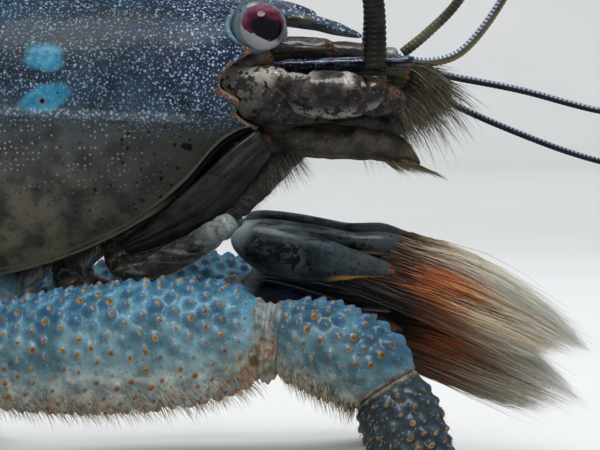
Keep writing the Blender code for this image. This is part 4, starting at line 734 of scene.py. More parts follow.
def claw_paint(name, dark, light, highlight, line=0.0):
    """Glassy finger of a claw, with black blotches along its middle and a painted highlight along its top."""
    p = Paint(name)
    cloud, up, share = p.noise(1.6, 4.0), p.mark("up"), p.mark("share")
    colour = p.mix(p.step(cloud, 0.38, 0.62), rgb(*dark), rgb(*light))
    # Painted highlight along the top of the finger, broken up by the gleam noise.
    painted_crown_highlight = p.times(p.step(up, 0.45, 0.8), p.step(share, 0.05, 0.15), p.step(share, 0.75, 0.5))
    gleam = p.step(p.noise(0.8, 3.0, (0.3, 1.0, 1.0)), 0.42, 0.6)
    colour = p.mix(p.times(painted_crown_highlight, gleam, 0.8), colour, rgb(*highlight))
    colour = p.mix(p.times(p.step(share, 0.55, 0.75), 0.6), colour, rgb(64, 70, 72))
    middle = p.times(p.step(p.math("ABSOLUTE", p.math("ADD", up, 0.1)), 0.75, 0.4), p.step(share, 0.85, 0.6))
    cluster = p.step(p.noise(1.5, 2.0), 0.4, 0.55)
    blot = p.times(p.step(p.noise(0.4, 5.0), 0.47, 0.51), p.most(cluster, 0.2), p.most(middle, 0.35))
    colour = p.mix(p.times(blot, 0.95), colour, rgb(6, 6, 7))
    small = p.step(p.noise(0.2, 2.0), 0.64, 0.68)
    colour = p.mix(p.times(small, 0.85), colour, rgb(8, 8, 10))
    edge = p.times(p.step(up, -0.6, -0.85), p.step(share, 0.55, 0.7), line)
    colour = p.mix(edge, colour, rgb(178, 132, 62))
    tip = p.times(p.step(share, 0.88, 0.98), p.step(p.noise(0.6, 3.0), 0.4, 0.55))
    colour = p.mix(p.times(tip, 0.8), colour, rgb(140, 78, 34))
    colour = p.mix(p.times(p.mark("pale"), 0.7), colour, rgb(150, 164, 166))
    outline = p.times(p.step(up, -0.5, -0.9), p.less(line))
    colour = p.mix(p.times(outline, 0.4), colour, rgb(70, 76, 80))
    return p.finish(colour, 0.34, p.noise(0.25, 2.0), 0.012, Coat_Weight=0.12, Coat_Roughness=0.05, Specular_IOR_Level=0.12)


def leg_paint(name="leg_shell", strength=1.0):
    """Stout leg: blue above, teal at its side and whitish below, each tubercle with an amber eye."""
    p = Paint(name)
    up, stud, eye, joint = (p.mark(key) for key in ("up", "stud", "eye", "joint"))
    cloud = p.noise(1.8, 4.0)
    side = p.mix(p.step(cloud, 0.36, 0.64), rgb(68, 102, 110), rgb(110, 142, 150))
    top = p.mix(p.step(cloud, 0.4, 0.6), rgb(42, 84, 104), rgb(74, 122, 142))
    low = p.mix(p.step(cloud, 0.36, 0.64), rgb(112, 130, 124), rgb(164, 180, 172))
    high = p.step(up, 0.1, 0.8)
    colour = p.mix(high, side, top)
    colour = p.mix(p.step(up, -0.05, -0.6), colour, low)
    colour = p.mix(p.times(p.mark("dark"), 0.92), colour, p.mix(cloud, rgb(12, 18, 24), rgb(32, 40, 40)))
    crest = p.times(p.step(stud, 0.1, 0.6), p.math("MULTIPLY_ADD", high, 0.4, 0.25))
    crest = p.times(crest, p.math("MULTIPLY_ADD", p.step(p.noise(2.2, 3.0), 0.35, 0.6), 0.6, 0.5))
    colour = p.mix(p.times(crest, p.math("MULTIPLY_ADD", p.mark("dark"), -0.5, 1.0)), colour, rgb(34, 84, 136))
    pits = p.step(p.noise(0.35, 3.0), 0.56, 0.66)
    colour = p.mix(p.times(pits, p.less(stud), 0.4), colour, rgb(44, 62, 68))
    # Painted highlight: whitish streaks between the tubercles on the lower side.
    painted_streak_highlight = p.times(p.step(up, -0.2, -0.45), p.step(p.noise(1.1, 3.0, (0.55, 1.0, 1.0)), 0.5, 0.62), p.less(stud))
    colour = p.mix(p.times(painted_streak_highlight, p.less(p.mark("dark")), 0.5), colour, rgb(196, 198, 186))
    gold = p.mix(p.step(p.noise(0.5), 0.35, 0.65), rgb(104, 74, 24), rgb(154, 122, 54))
    gold = p.mix(p.times(p.step(up, -0.25, -0.65), 0.85), gold, rgb(146, 74, 30))
    colour = p.mix(p.times(p.step(eye, 0.28, 0.72), strength, 0.95), colour, gold)
    colour = p.mix(p.times(p.step(eye, 0.7, 1.0), strength, 0.75), colour, rgb(72, 42, 18))
    stain = p.times(p.step(up, -0.55, -0.85), p.step(p.noise(0.9, 3.0), 0.46, 0.58), p.less(p.mark("dark")))
    colour = p.mix(p.times(stain, 0.5), colour, rgb(150, 88, 42))
    end = p.times(p.step(p.mark("share"), 0.86, 0.96), p.step(up, -0.1, -0.5), p.less(p.mark("dark")))
    mottled = p.mix(p.step(p.noise(0.8, 3.0), 0.42, 0.58), rgb(150, 86, 32), rgb(150, 138, 108))
    colour = p.mix(p.times(end, p.less(eye), 0.7), colour, mottled)
    specks = p.most(p.dots(0.45, 0.1, 0.5, 1.0, flat=False), p.dots(0.9, 0.16, 0.3, 1.0, flat=False))
    colour = p.mix(p.times(specks, p.less(stud), 0.6), colour, rgb(22, 22, 24))
    glints = p.dots(0.3, 0.08, 0.4, 1.0, flat=False)
    colour = p.mix(p.times(glints, 0.35), colour, rgb(168, 190, 200))
    cream = p.mix(p.step(p.noise(0.9, 3.0), 0.4, 0.6), rgb(82, 80, 62), rgb(150, 138, 118))
    bare = p.less(p.times(p.step(p.math("ADD", up, p.noise(1.2, 3.0)), 0.15, 0.75), 0.4))
    colour = p.mix(p.times(p.step(joint, 0.2, 0.8), bare, 0.92), colour, cream)
    rust = p.times(p.step(joint, 0.25, 0.6), p.step(p.noise(0.75, 3.0), 0.57, 0.64))
    colour = p.mix(p.times(rust, 0.7), colour, rgb(112, 58, 28))
    height = p.math("ADD", p.times(cloud, 0.8), p.times(p.noise(0.3, 3.0), 0.7))
    return p.finish(
        colour, p.math("MULTIPLY_ADD", cloud, 0.25, 0.27), height, 0.08,
        Coat_Weight=0.15, Coat_Roughness=0.15, Specular_IOR_Level=0.4,
    )


# Carapace


def hull_width(level, widest=0.42, edge=0.66):
    """Share of the greatest half width at a level of a hoop, 0 at its lower edge and 1 at its top."""
    high = np.sqrt(np.clip(1 - (np.clip(level - widest, 0, None) / (1 - widest)) ** 2.15, 0, 1))
    low = 1 - (1 - edge) * (np.clip(widest - level, 0, None) / widest) ** 2
    return np.where(level >= widest, high, low)


def carapace_point(along, level):
    """A point on the left half of the carapace: along is 0 at its hind edge and 1 at its front margin."""
    front = smooth(level, CARAPACE_LEVELS, CARAPACE_FRONT_X)
    x = HIND_X + along * (front - HIND_X)
    top = smooth(x, CARAPACE_X, CARAPACE_TOP)
    bottom = smooth(x, CARAPACE_X, CARAPACE_BOTTOM)
    y = smooth(x, CARAPACE_X, CARAPACE_HALF_WIDTH) * hull_width(level)
    return np.stack([x, y, bottom + level * (top - bottom)], axis=-1)


def ring_levels(point_at, columns, step):
    """Levels of a hoop from one lower edge over the top to the other, even along its outline, and its sides."""
    dense = 1 - np.linspace(1, 0, 4001) ** 2
    outline = point_at(dense)
    arc = np.concatenate([[0.0], np.cumsum(np.linalg.norm(np.diff(outline, axis=0), axis=1))])
    spaced = edge_spaced(2 * arc[-1], step)
    level = np.interp(np.minimum(spaced, 2 * arc[-1] - spaced), arc, dense)
    sign = np.where(spaced < arc[-1], 1.0, -1.0)
    return level, sign, spaced


def edge_distance(grid):
    """Distance of each grid point from the nearer end of its row."""
    steps = np.linalg.norm(np.diff(grid, axis=1), axis=2)
    arc = np.concatenate([np.zeros((len(grid), 1)), np.cumsum(steps, axis=1)], axis=1)
    return np.minimum(arc, arc[:, -1:] - arc), arc


def rounded_rim(distance, reach):
    """How far a surface sinks near an edge so that the edge is round."""
    return -reach * (1 - np.sqrt(1 - (1 - np.minimum(1, distance / reach)) ** 2))


def ridge_height(points):
    """Distance above the pale line along the flank."""
    return points[..., 2] - RIDGE_AT[1] - RIDGE_SLOPE * (points[..., 0] - RIDGE_AT[0])


def make_carapace():
    level, sign, spaced = ring_levels(lambda k: carapace_point(0.6, k), 0, 0.25)
    along = edge_spaced(36.0, 0.29) / 36.0
    grid = carapace_point(along[:, None], level[None, :])
    grid[..., 1] *= sign
    normal = normals_of(grid)
    middle = np.array([-16.0, 0.0, 29.0])
    normal *= np.sign(np.einsum("ijk,ijk->ij", normal, grid - middle))[..., None]
    hem, arc = edge_distance(grid)
    length = smooth(level, CARAPACE_LEVELS, CARAPACE_FRONT_X) - HIND_X
    front = (1 - along[:, None]) * length[None, :]
    hind = along[:, None] * length[None, :]
    above = ridge_height(grid)
    ridge = np.exp(-((above / 0.45) ** 2)) * np.clip((grid[..., 0] + 27) / 6, 0, 1)
    ridge *= np.clip((-5.0 - grid[..., 0]) / 2, 0, 1)
    relief = 0.05 * ridge + 0.10 * ripple(grid, 7.0, 3) + 0.02 * ripple(grid, 2.2, 4)
    bead = np.exp(-(((hem - 0.3) / 0.17) ** 2)) + 0.6 * np.exp(-(((hem - 0.95) / 0.16) ** 2))
    relief += 0.10 * bead - 0.07 * np.exp(-(((hem - 0.62) / 0.14) ** 2))
    relief += 0.12 * np.exp(-(((front - 0.28) / 0.2) ** 2))
    relief += 0.06 * np.exp(-(((hind - 0.5) / 0.3) ** 2))
    notch = np.exp(-(((grid[..., 0] + 21.5) / 1.1) ** 2)) * np.clip((grid[..., 2] - 33.0) / 5, 0, 1)
    relief -= 0.16 * notch
    relief += rounded_rim(np.minimum(np.minimum(hem, front), hind), 0.24)
    outer = grid + normal * relief[..., None]
    inner = grid - normal * 0.52
    maps = np.stack([arc, np.broadcast_to(grid[..., 0] - HIND_X, arc.shape)], axis=-1) / 10
    shape = Shape()
    shape.slab(outer, inner, maps, hem=hem, front=front)
    shape.place("carapace_shell", shell_paint(), "shell", ["carapace"])


def make_thorax():
    """Breast plate in the channel under the carapace, dark and softly grooved between the legs."""
    rows, columns = 90, 64
    along = np.linspace(0.012, 0.85, rows)
    level = np.array([0.0, 0.08, 0.16, 0.24])
    shares = np.array([0.80, 0.74, 0.62, 0.40])
    left = carapace_point(along[:, None], level[None, :])
    left[..., 1] = left[..., 1] * shares - 0.42
    left[:, :, 2] -= 0.08
    keel = left[:, 0] * [1, 0.62, 1] - [0, 0, 0.9]
    floor = left[:, 0] * [1, 0.25, 1] - [0, 0, 1.2]
    painted_crown_highlight = left[:, 3] * [1, 0.3, 1] + [0, 0, 0.1]
    half = np.concatenate([floor[:, None], keel[:, None], left, painted_crown_highlight[:, None]], axis=1)
    ring = np.concatenate([half, half[:, ::-1] * [1, -1, 1]], axis=1)
    closed = np.concatenate([ring, ring[:, :1]], axis=1)
    grid = np.stack([even(r, columns + 1)[0][:-1] for r in closed])
    groove = 0.35 * np.cos(2 * math.pi * (grid[..., 0] + 35) / 4.6) * np.clip((22 - grid[..., 2]) / 4, 0, 1)
    grid[..., 2] += groove
    shape = Shape()
    shape.tube(grid, up=0.0, joint=np.clip(groove / 0.35, 0, 1), share=np.linspace(0, 1, rows)[:, None])
    paint = horn_paint("breast", (28, 24, 20), (56, 50, 42))
    shape.place("thorax_plate", paint, "limb", ["thorax"])

    rng = np.random.default_rng(19)
    count = 1500
    sign = np.where(rng.uniform(0, 1, count) < 0.5, -1, 1)
    share = rng.uniform(0.2, 0.84, count)
    edge = carapace_point(share, np.zeros(count))
    roots = edge * np.stack([np.ones(count), sign * rng.uniform(0.55, 0.86, count), np.ones(count)], axis=-1)
    roots[:, 2] += 0.35
    aims = np.stack([0.15 - 0.5 * rng.uniform(0, 1, count), sign * rng.normal(0.1, 0.2, count), -np.ones(count)], axis=-1)
    bend = rng.normal(0, 0.08, (count, 3)) + (-0.15, 0, 0)
    paths = bent_hairs(roots, aims, rng.uniform(0.8, 2.6, count), bend, SHORT_HAIR_POINTS)
    hairs = Shape()
    uv = np.stack([0.5 + 0.4 * sign * share, 0.1 + 0.8 * share], axis=-1)
    hairs.strands(paths, 0.026, uv, shade=rng.uniform(0, 1, count))
    hair = hair_paint("breast_hair", ((0.0, (26, 22, 17)), (0.5, (46, 40, 31)), (1.0, (84, 76, 60))), (120, 112, 92), 0.15)
    hairs.place("thorax_hair", hair, "limb", ["thorax"], "OFBake")


# Head

ROSTRUM_BLADE = [
    (-2.5, 0, 37.6, 2.0, 1.0), (0.8, 0, 37.5, 1.95, 0.95), (2.4, 0, 37.1, 1.75, 0.75),
    (4.0, 0, 36.7, 1.15, 0.55), (6.0, 0, 36.15, 0.65, 0.42), (7.8, 0, 35.6, 0.12, 0.12),
]
ROSTRUM_CREST = [(-1.5, 0, 38.2, 0.5, 0.6), (1.8, 0, 37.85, 0.42, 0.62), (4.2, 0, 37.1, 0.25, 0.5)]
ROSTRUM_TOOTH = [(1.6, 1.2, 37.2, 0.5, 0.35), (3.0, 1.9, 37.0, 0.38, 0.3), (4.5, 2.15, 36.7, 0.06, 0.06)]
HEAD_BLOCK = [
    (-4.5, 0, 33.4, 4.7, 3.2), (-1.0, 0, 33.6, 4.6, 3.1), (0.6, 0, 33.9, 3.9, 2.5), (1.5, 0, 34.1, 3.2, 2.0),
]
EYESTALK_ROOT = (-0.6, 2.6, 35.5)
# Soft skin that closes the orbit behind the eye: its long way is from the middle outwards.
EYE_SOCKET = [(-0.9, 2.6, 36.0, 1.3, 1.8), (-0.6, 4.6, 36.2, 1.8, 2.1), (-0.4, 6.4, 36.2, 2.0, 2.1)]
LEVEL_SIDE = (0, 1, 0)


def make_rostrum():
    shape = Shape()
    blade = Limb(ROSTRUM_BLADE, LEVEL_SIDE, 40, 90, dome=(0, 0.4))
    keel = 0.16 * np.exp(-(((blade.up - 1) / 0.12) ** 2)) + 0.12 * np.exp(-((blade.up / 0.2) ** 2))
    shape.tube(blade.raised(keel + 0.02 * ripple(blade.grid, 1.2, 8)), blade.maps, up=blade.up, olive=0.0)
    crest = Limb(ROSTRUM_CREST, LEVEL_SIDE, 22, 50, dome=(0, 0.5))
    shape.tube(crest.grid, crest.maps, up=crest.up, olive=0.0)
    for sign in SIDES.values():
        tooth = Limb(mirrored(ROSTRUM_TOOTH, sign), LEVEL_SIDE, 18, 34, dome=(0, 0.2))
        shape.tube(tooth.grid, tooth.maps, up=tooth.up, olive=1.0)
    shape.place("rostrum_beak", rostrum_paint(), "shell", ["rostrum"])


def make_head():
    shape = Shape()
    block = Limb(HEAD_BLOCK, LEVEL_SIDE, 56, 50, dome=(0, 1.2))
    relief = 0.12 * ripple(block.grid, 1.8, 12)
    shape.tube(block.raised(relief), block.maps, up=block.up, joint=block.share**3, pale=0.0)
    for sign in SIDES.values():
        inner = np.array(EYESTALK_ROOT) * (1, sign, 1)
        outer = np.array(EYE_CENTRE) * (1, sign, 1)
        end = outer - unit(outer - inner) * EYE_RADIUS * 0.5
        rows = [(*inner, 0.95, 0.95), (*(inner + end) / 2, 1.05, 1.05), (*end, 1.45, 1.45)]
        stalk = Limb(rows, (1, 0, 0), 32, 26)
        shape.tube(stalk.grid, stalk.maps, up=stalk.up, joint=0.0, pale=np.clip(stalk.share * 3 - 2, 0, 1))
        socket = Limb(mirrored(EYE_SOCKET, sign), (1, 0, 0), 48, 40, dome=(0.9, 0.9))
        rings = 0.55 + 0.4 * np.cos(socket.s * 7.0)
        shape.tube(socket.raised(0.05 * rings), socket.maps, up=socket.up, joint=0.0, pale=rings)
    paint = horn_paint(
        "head_skin", (30, 28, 28), (66, 66, 64), (130, 140, 146), 0.2, blotches=0.0, pale=(98, 122, 134),
    )
    shape.place("head_block", paint, "limb", ["head"])


EYE_SHOWN = 1.9  # radius of the clear outer ball


def make_eyes():
    for side, sign in SIDES.items():
        centre = np.array(EYE_CENTRE) * (1, sign, 1)
        rows, columns = 48, 72
        polar = np.linspace(0.02, math.pi - 0.02, rows)[:, None]
        around = 2 * math.pi * np.arange(columns)[None, :] / columns
        ball = np.stack(
            [
                np.sin(polar) * np.cos(around),
                np.cos(polar) * np.ones_like(around),
                np.sin(polar) * np.sin(around),
            ],
            axis=-1,
        )
        squashed = ball * (1.0, 0.94, 0.97)
        shape = Shape()
        shape.tube(centre + squashed * EYE_SHOWN, up=ball[..., 2])
        shape.place(f"eye_{side}_ball", eye_paint(), "eye", [f"eye_{side}"])


# Feelers

ANTENNULE_STALK = [
    (0.0, 2.3, 34.4, 1.1, 1.0), (2.2, 2.6, 34.6, 1.1, 1.0), (5.0, 2.8, 34.5, 0.95, 0.9),
    (5.6, 2.8, 34.45, 0.8, 0.8), (7.9, 2.9, 34.2, 0.85, 0.85), (8.5, 2.9, 34.1, 0.72, 0.75),
    (10.6, 3.0, 33.85, 0.78, 0.85),
]
ANTENNULE_THORN = [(1.0, 3.3, 34.5, 0.5, 0.4), (3.4, 3.95, 34.6, 0.35, 0.3), (5.6, 4.05, 34.5, 0.05, 0.05)]
ANTENNULE_FEELERS = {
    ("right", "outer"): [
        (10.9, -3.2, 34.25, 0.40), (12.9, -3.3, 35.9, 0.38), (15.2, -3.6, 38.3, 0.36),
        (18.2, -4.6, 43.0, 0.32), (19.8, -6.4, 49.0, 0.27), (19.6, -9.0, 55.0, 0.2),
    ],
    ("left", "outer"): [
        (10.9, 3.2, 34.05, 0.40), (13.4, 3.4, 33.75, 0.38), (16.0, 3.7, 34.6, 0.36),
        (18.6, 4.2, 37.6, 0.35), (20.8, 5.0, 41.6, 0.32), (22.8, 6.8, 47.4, 0.27), (23.4, 9.2, 53.6, 0.2),
    ],
    ("right", "inner"): [
        (10.9, -2.75, 33.35, 0.30), (14.2, -2.9, 32.55, 0.29), (20.0, -3.4, 31.4, 0.27),
        (26.0, -4.4, 29.8, 0.25), (33.0, -6.4, 28.6, 0.22), (41.0, -9.6, 28.6, 0.18),
    ],
    ("left", "inner"): [
        (10.9, 2.75, 33.25, 0.30), (14.8, 2.9, 30.6, 0.29), (20.6, 3.3, 28.0, 0.27),
        (26.6, 4.2, 25.9, 0.25), (33.0, 6.0, 24.6, 0.22), (40.0, 9.0, 24.4, 0.18),
    ],
}
ANTENNA_FEELER = {
    "right": [
        (8.65, -6.6, 32.95, 0.88), (8.45, -6.7, 38.5, 0.82), (6.9, -8.0, 46.0, 0.72),
        (1.6, -11.8, 53.6, 0.62), (-7.5, -17.2, 58.2, 0.5), (-19.0, -23.2, 58.6, 0.38),
        (-30.0, -28.4, 54.6, 0.26),
    ],
    "left": [
        (8.65, 6.6, 32.95, 0.88), (9.0, 6.9, 38.5, 0.82), (8.6, 9.0, 46.0, 0.72),
        (4.6, 14.0, 53.0, 0.62), (-3.6, 20.4, 56.6, 0.5), (-14.6, 26.6, 56.0, 0.38),
        (-25.6, 31.6, 51.6, 0.26),
    ],
}
ANTENNA_STALK = [
    (-2.6, 4.3, 32.3, 0.9, 0.8), (0.3, 5.4, 32.4, 0.95, 0.85), (2.2, 5.9, 31.7, 1.1, 1.1),
    (3.4, 6.2, 31.1, 1.5, 1.7), (5.6, 6.5, 31.0, 1.6, 1.85), (7.4, 6.6, 31.0, 1.45, 1.6),
    (8.5, 6.6, 31.4, 1.15, 1.15), (8.65, 6.6, 32.6, 0.95, 0.95),
]


def add_ringed(shape, rows, pitch, around):
    """A feeler made of rings: four rows to a ring, swollen in its middle and pinched between."""
    rows = [(*row, row[3]) for row in rows]
    length = even(rows, 10)[2]
    rings = int(length / pitch)
    limb = Limb(rows, (0.1, 1, 0.2), around, rings * 4 + 1, dome=(0, 0.4))
    phase = (np.arange(rings * 4 + 1) / 4) % 1
    swell = np.sin(math.pi * phase) ** 0.7
    radius = limb.values[:, 3:4]
    bent = limb.raised(radius * (0.10 * swell[:, None] - 0.06))
    shape.tube(bent, limb.maps, up=limb.up, ring=phase[:, None], share=limb.share)


def make_feelers():
    kinds = {
        ("left", "outer"): feeler_paint("feeler_bead_highlit", (36, 42, 54), (80, 84, 88), (196, 210, 230), 0.9, (126, 108, 44)),
        ("right", "outer"): feeler_paint("feeler_olive", (38, 40, 26), (96, 98, 72), (140, 142, 108), 0.35),
        "inner": feeler_paint("feeler_blue", (8, 11, 22), (28, 35, 54), (190, 204, 226), 0.65),
    }
    for (side, kind), rows in ANTENNULE_FEELERS.items():
        shape = Shape()
        add_ringed(shape, rows, 0.36, 12)
        paint = kinds.get((side, kind)) or kinds[kind]
        shape.place(f"antennule_{side}_{kind}_rings", paint, "feeler", [f"antennule_{side}_{kind}_feeler"])
    paint = feeler_paint("feeler_thick", (5, 5, 4), (38, 37, 26), (44, 46, 48), 0.2)
    for side in SIDES:
        shape = Shape()
        add_ringed(shape, ANTENNA_FEELER[side], 0.42, 15)
        nodes = [f"antenna_{side}_feeler_root", f"antenna_{side}_feeler_tip"]
        shape.place(f"antenna_{side}_rings", paint, "feeler", nodes)


def joints_near(limb, places, reach=0.45):
    """1 at the given distances along a limb and 0 beyond reach of them."""
    made = np.zeros_like(limb.s)
    for place in places:
        made = np.maximum(made, np.clip(1 - np.abs(limb.s - place) / reach, 0, 1))
    return made


def make_antennules():
    paint = horn_paint("antennule_skin", (30, 25, 22), (70, 63, 56), (160, 162, 160), 0.3)
    for side, sign in SIDES.items():
        shape = Shape()
        stalk = Limb(mirrored(ANTENNULE_STALK, sign), LEVEL_SIDE, 30, 120, dome=(0, 0.5))
        folds = joints_near(stalk, (5.4, 8.3), 0.4)
        relief = stalk.raised(0.03 * ripple(stalk.grid, 0.8, 21) - 0.1 * folds)
        pale = np.clip((stalk.share - 0.84) * 8, 0, 0.8)
        shape.tube(relief, stalk.maps, up=stalk.up, joint=folds, pale=pale)
        thorn = Limb(mirrored(ANTENNULE_THORN, sign), LEVEL_SIDE, 16, 40, dome=(0, 0.2))
        shape.tube(thorn.grid, thorn.maps, up=thorn.up, joint=0.0, pale=0.0)
        shape.place(f"antennule_{side}_stem", paint, "limb", [f"antennule_{side}"])


SCALE_ROOT = (0.9, 4.75, 33.55)
SCALE_LENGTH, SCALE_WIDTH = 11.2, 4.9
SCALE_SLOPE = math.radians(50)
SCALE_RISE = (0.25, 0.35)


def scale_point(along, across):
    """A point on the middle of the left antennal scale: across is 0 at its rib and 1 at its inner edge."""
    shape = np.sin(math.pi * np.minimum(1.0, 0.16 + 0.62 * along)) ** 0.7
    reach = SCALE_LENGTH * along * (1 - 0.16 * np.abs(2 * across - 0.55) ** 2.2)
    width = SCALE_WIDTH * shape * across
    sag = 0.5 * np.sin(math.pi * across)
    out = SCALE_RISE[0] * along - width * math.cos(SCALE_SLOPE)
    up = SCALE_RISE[1] * along - width * math.sin(SCALE_SLOPE) - sag
    return np.stack([reach + SCALE_ROOT[0], out + SCALE_ROOT[1], up + SCALE_ROOT[2]], axis=-1)


HAIR_POINTS, SHORT_HAIR_POINTS = 5, 4


def bent_hairs(roots, aims, lengths, bend, points=HAIR_POINTS):
    """Hairs that start along aims and are carried off by bend, growing with the square of the way."""
    t = np.linspace(0, 1, points)[None, :, None]
    reach = np.asarray(lengths)[:, None, None]
    return roots[:, None] + unit(aims)[:, None] * reach * t + np.asarray(bend)[:, None] * reach * t**2


CHEEK = [
    (-4.4, 4.0, 31.8, 0.8, 1.4), (-3.0, 4.5, 31.7, 1.0, 1.8), (-0.8, 4.7, 31.1, 1.3, 2.0), (1.2, 4.9, 30.4, 1.3, 1.75),
    (3.2, 5.1, 29.7, 1.0, 1.1), (4.6, 5.2, 29.5, 0.4, 0.5),
]
FEELER_COLLAR = [
    (6.6, 6.2, 30.9, 1.0, 1.2), (8.4, 6.1, 30.8, 1.1, 1.45), (10.0, 5.7, 30.5, 0.85, 1.15), (11.1, 5.3, 30.1, 0.35, 0.6),
]


def make_antennae():
    stem = horn_paint(
        "antenna_skin", (20, 17, 16), (60, 53, 46), (150, 158, 166), 0.12, 1.0, (132, 84, 40), 1.0, (192, 188, 174),
    )
    fringe = hair_paint(
        "leaf_hair", ((0.0, (44, 36, 24)), (0.35, (58, 54, 42)), (1.0, (96, 92, 76))), (168, 158, 126), 0.2,
    )
    leaf_paint = scale_paint()
    for side, sign in SIDES.items():
        shape = Shape()
        stalk = Limb(mirrored(ANTENNA_STALK, sign), LEVEL_SIDE, 44, 140, dome=(0, 0.3))
        folds = joints_near(stalk, (4.6, 10.9, 12.4), 0.32)
        relief = 0.035 * ripple(stalk.grid, 1.6, 31) + 0.015 * ripple(stalk.grid, 0.5, 32) - 0.12 * folds
        basal = np.clip((4.4 - stalk.s) / 0.8, 0, 1)
        rim = np.clip((-stalk.up - 0.5) * 3, 0, 1) * 0.5
        wedge = np.clip((8.0 - stalk.s) / 2.0, 0, 1) * np.clip((stalk.up - 0.5) * 4, 0, 0.7)
        # Painted highlight near the end of the stalk on its upper side, carried in the pale mark with the real pale
        # parts.
        glint = np.exp(-(((stalk.s - 9.8) / 0.45) ** 2)) * np.clip(stalk.up * 2 - 0.4, 0, 1)
        pale = np.maximum(np.maximum(basal, rim), np.maximum(wedge, glint))
        shape.tube(stalk.raised(relief), stalk.maps, up=stalk.up, joint=0.7 * folds, pale=pale)
        for rows, seed in ((CHEEK, 36), (FEELER_COLLAR, 37)):
            lobe = Limb(mirrored(rows, sign), LEVEL_SIDE, 40, 60, dome=(0.4, 0.6))
            rough = 0.07 * ripple(lobe.grid, 1.5, seed) + 0.02 * ripple(lobe.grid, 0.5, seed + 5)
            golden = np.clip((lobe.share - 0.35) * 2.5, 0, 1) * np.clip(lobe.up + 0.3, 0, 0.9)
            rust = golden if rows is FEELER_COLLAR else np.clip(rough * 12 - 0.3, 0, 0.7)
            tan = np.clip(0.5 - 0.9 * lobe.share, 0, 0.4) * (rows is CHEEK)
            shape.tube(lobe.raised(rough), lobe.maps, up=lobe.up, joint=rust, pale=tan)
        shape.place(f"antenna_{side}_stem", stem, "limb", [f"antenna_{side}_stalk"])

        along = np.linspace(0, 1, 90)[:, None]
        across = np.linspace(0, 1, 44)[None, :]
        grid = scale_point(along, across) * (1, sign, 1)
        normal = normals_of(grid)
        rib = np.clip(1 - across / 0.13, 0, 1) * np.ones_like(along)
        edge = np.minimum((1 - along) * SCALE_LENGTH, (1 - across) * SCALE_WIDTH)
        veins = 0.03 * np.sin(across * 60) * (1 - rib)
        thick = 0.13 + 0.2 * np.sqrt(rib) + 0.02 * ripple(grid, 1.0, 35) + veins
        thick = thick * np.clip(edge / 0.3, 0.3, 1)
        shape = Shape()
        maps = np.stack([across * SCALE_WIDTH + 0 * along, along * SCALE_LENGTH + 0 * across], axis=-1) / 10
        upper, lower = grid + normal * thick[..., None], grid - normal * thick[..., None]
        shape.slab(upper, lower, maps, rib=np.sqrt(rib), hem=edge)
        shape.place(f"antenna_{side}_leaf", leaf_paint, "limb", [f"antenna_{side}_scale"])

        rng = np.random.default_rng(41 if sign < 0 else 42)
        count = 3300
        end = rng.uniform(0, 1, count) < 0.6
        a = np.where(end, rng.uniform(0.9, 1.0, count), rng.uniform(0.5, 1.0, count))
        c = np.where(end, rng.uniform(0.04, 1.0, count) ** 0.8, rng.uniform(0.86, 1.0, count))
        roots = scale_point(a, c) * (1, sign, 1)
        fall = 0.3 + 0.85 * c + rng.normal(0, 0.26, count)
        aims = np.stack([np.ones(count), sign * rng.normal(0.1, 0.14, count), -0.45 * fall], axis=-1)
        long_hair = rng.uniform(0, 1, count) < 0.08
        lengths = np.where(long_hair, rng.uniform(4.2, 7.0, count), rng.uniform(1.8, 4.4, count))
        lengths = lengths * np.where(end, 1.0, 0.9)
        bend = np.stack([-0.12 - 0.1 * c, sign * 0.03 + 0 * c, -0.24 - 0.12 * fall], axis=-1)
        bend += rng.normal(0, 0.07, (count, 3))
        hairs = Shape()
        uv = np.stack([c, a], axis=-1) * 0.9 + 0.05
        hairs.strands(bent_hairs(roots, aims, lengths, bend), 0.044, uv, shade=rng.uniform(0, 1, count))
        hairs.place(
            f"antenna_{side}_leaf_fringe", fringe, "limb", [f"antenna_{side}_scale"], "OFBake",
        )


# Mouth and jaw legs

MOUTH_BLOCK = [
    (-8.2, 0, 20.6, 3.2, 1.8), (-5.0, 0, 22.9, 3.8, 3.2), (-2.0, 0, 25.6, 3.9, 3.4),
    (0.6, 0, 27.3, 3.7, 2.9), (2.3, 0, 28.1, 3.3, 2.5), (3.7, 0, 28.6, 2.6, 1.9),
]
JAW_LEG = [
    (0.8, 2.6, 27.9, 0.9, 1.0), (2.8, 3.6, 27.6, 1.15, 1.35), (5.2, 4.2, 27.4, 1.2, 1.45),
    (7.2, 4.3, 27.3, 1.05, 1.25), (9.6, 4.1, 27.0, 1.05, 1.2), (11.0, 3.8, 26.6, 0.7, 0.8),
    (12.3, 3.5, 25.6, 0.12, 0.12),
]


# Labrum beside the jaw leg, and the outline of the thin limb sheet that hangs behind it.
LABRUM = [
    (-1.4, 2.6, 29.3, 1.1, 1.3), (2.4, 3.2, 29.1, 1.2, 1.5), (6.4, 3.5, 28.9, 1.1, 1.35), (9.6, 3.6, 28.6, 0.7, 1.0),
    (11.2, 3.6, 28.2, 0.2, 0.3),
]
SHEET_UPPER = [(-11.0, 4.3, 19.7), (-8.0, 5.2, 21.9), (-5.2, 5.7, 24.2), (-2.6, 5.5, 26.7), (-0.4, 4.8, 28.4)]
SHEET_ROWS = 80
SHEET_LOWER = [(-11.4, 4.2, 18.2), (-7.8, 4.9, 19.3), (-4.6, 5.1, 20.7), (-1.8, 4.7, 23.0), (0.8, 4.0, 26.4)]


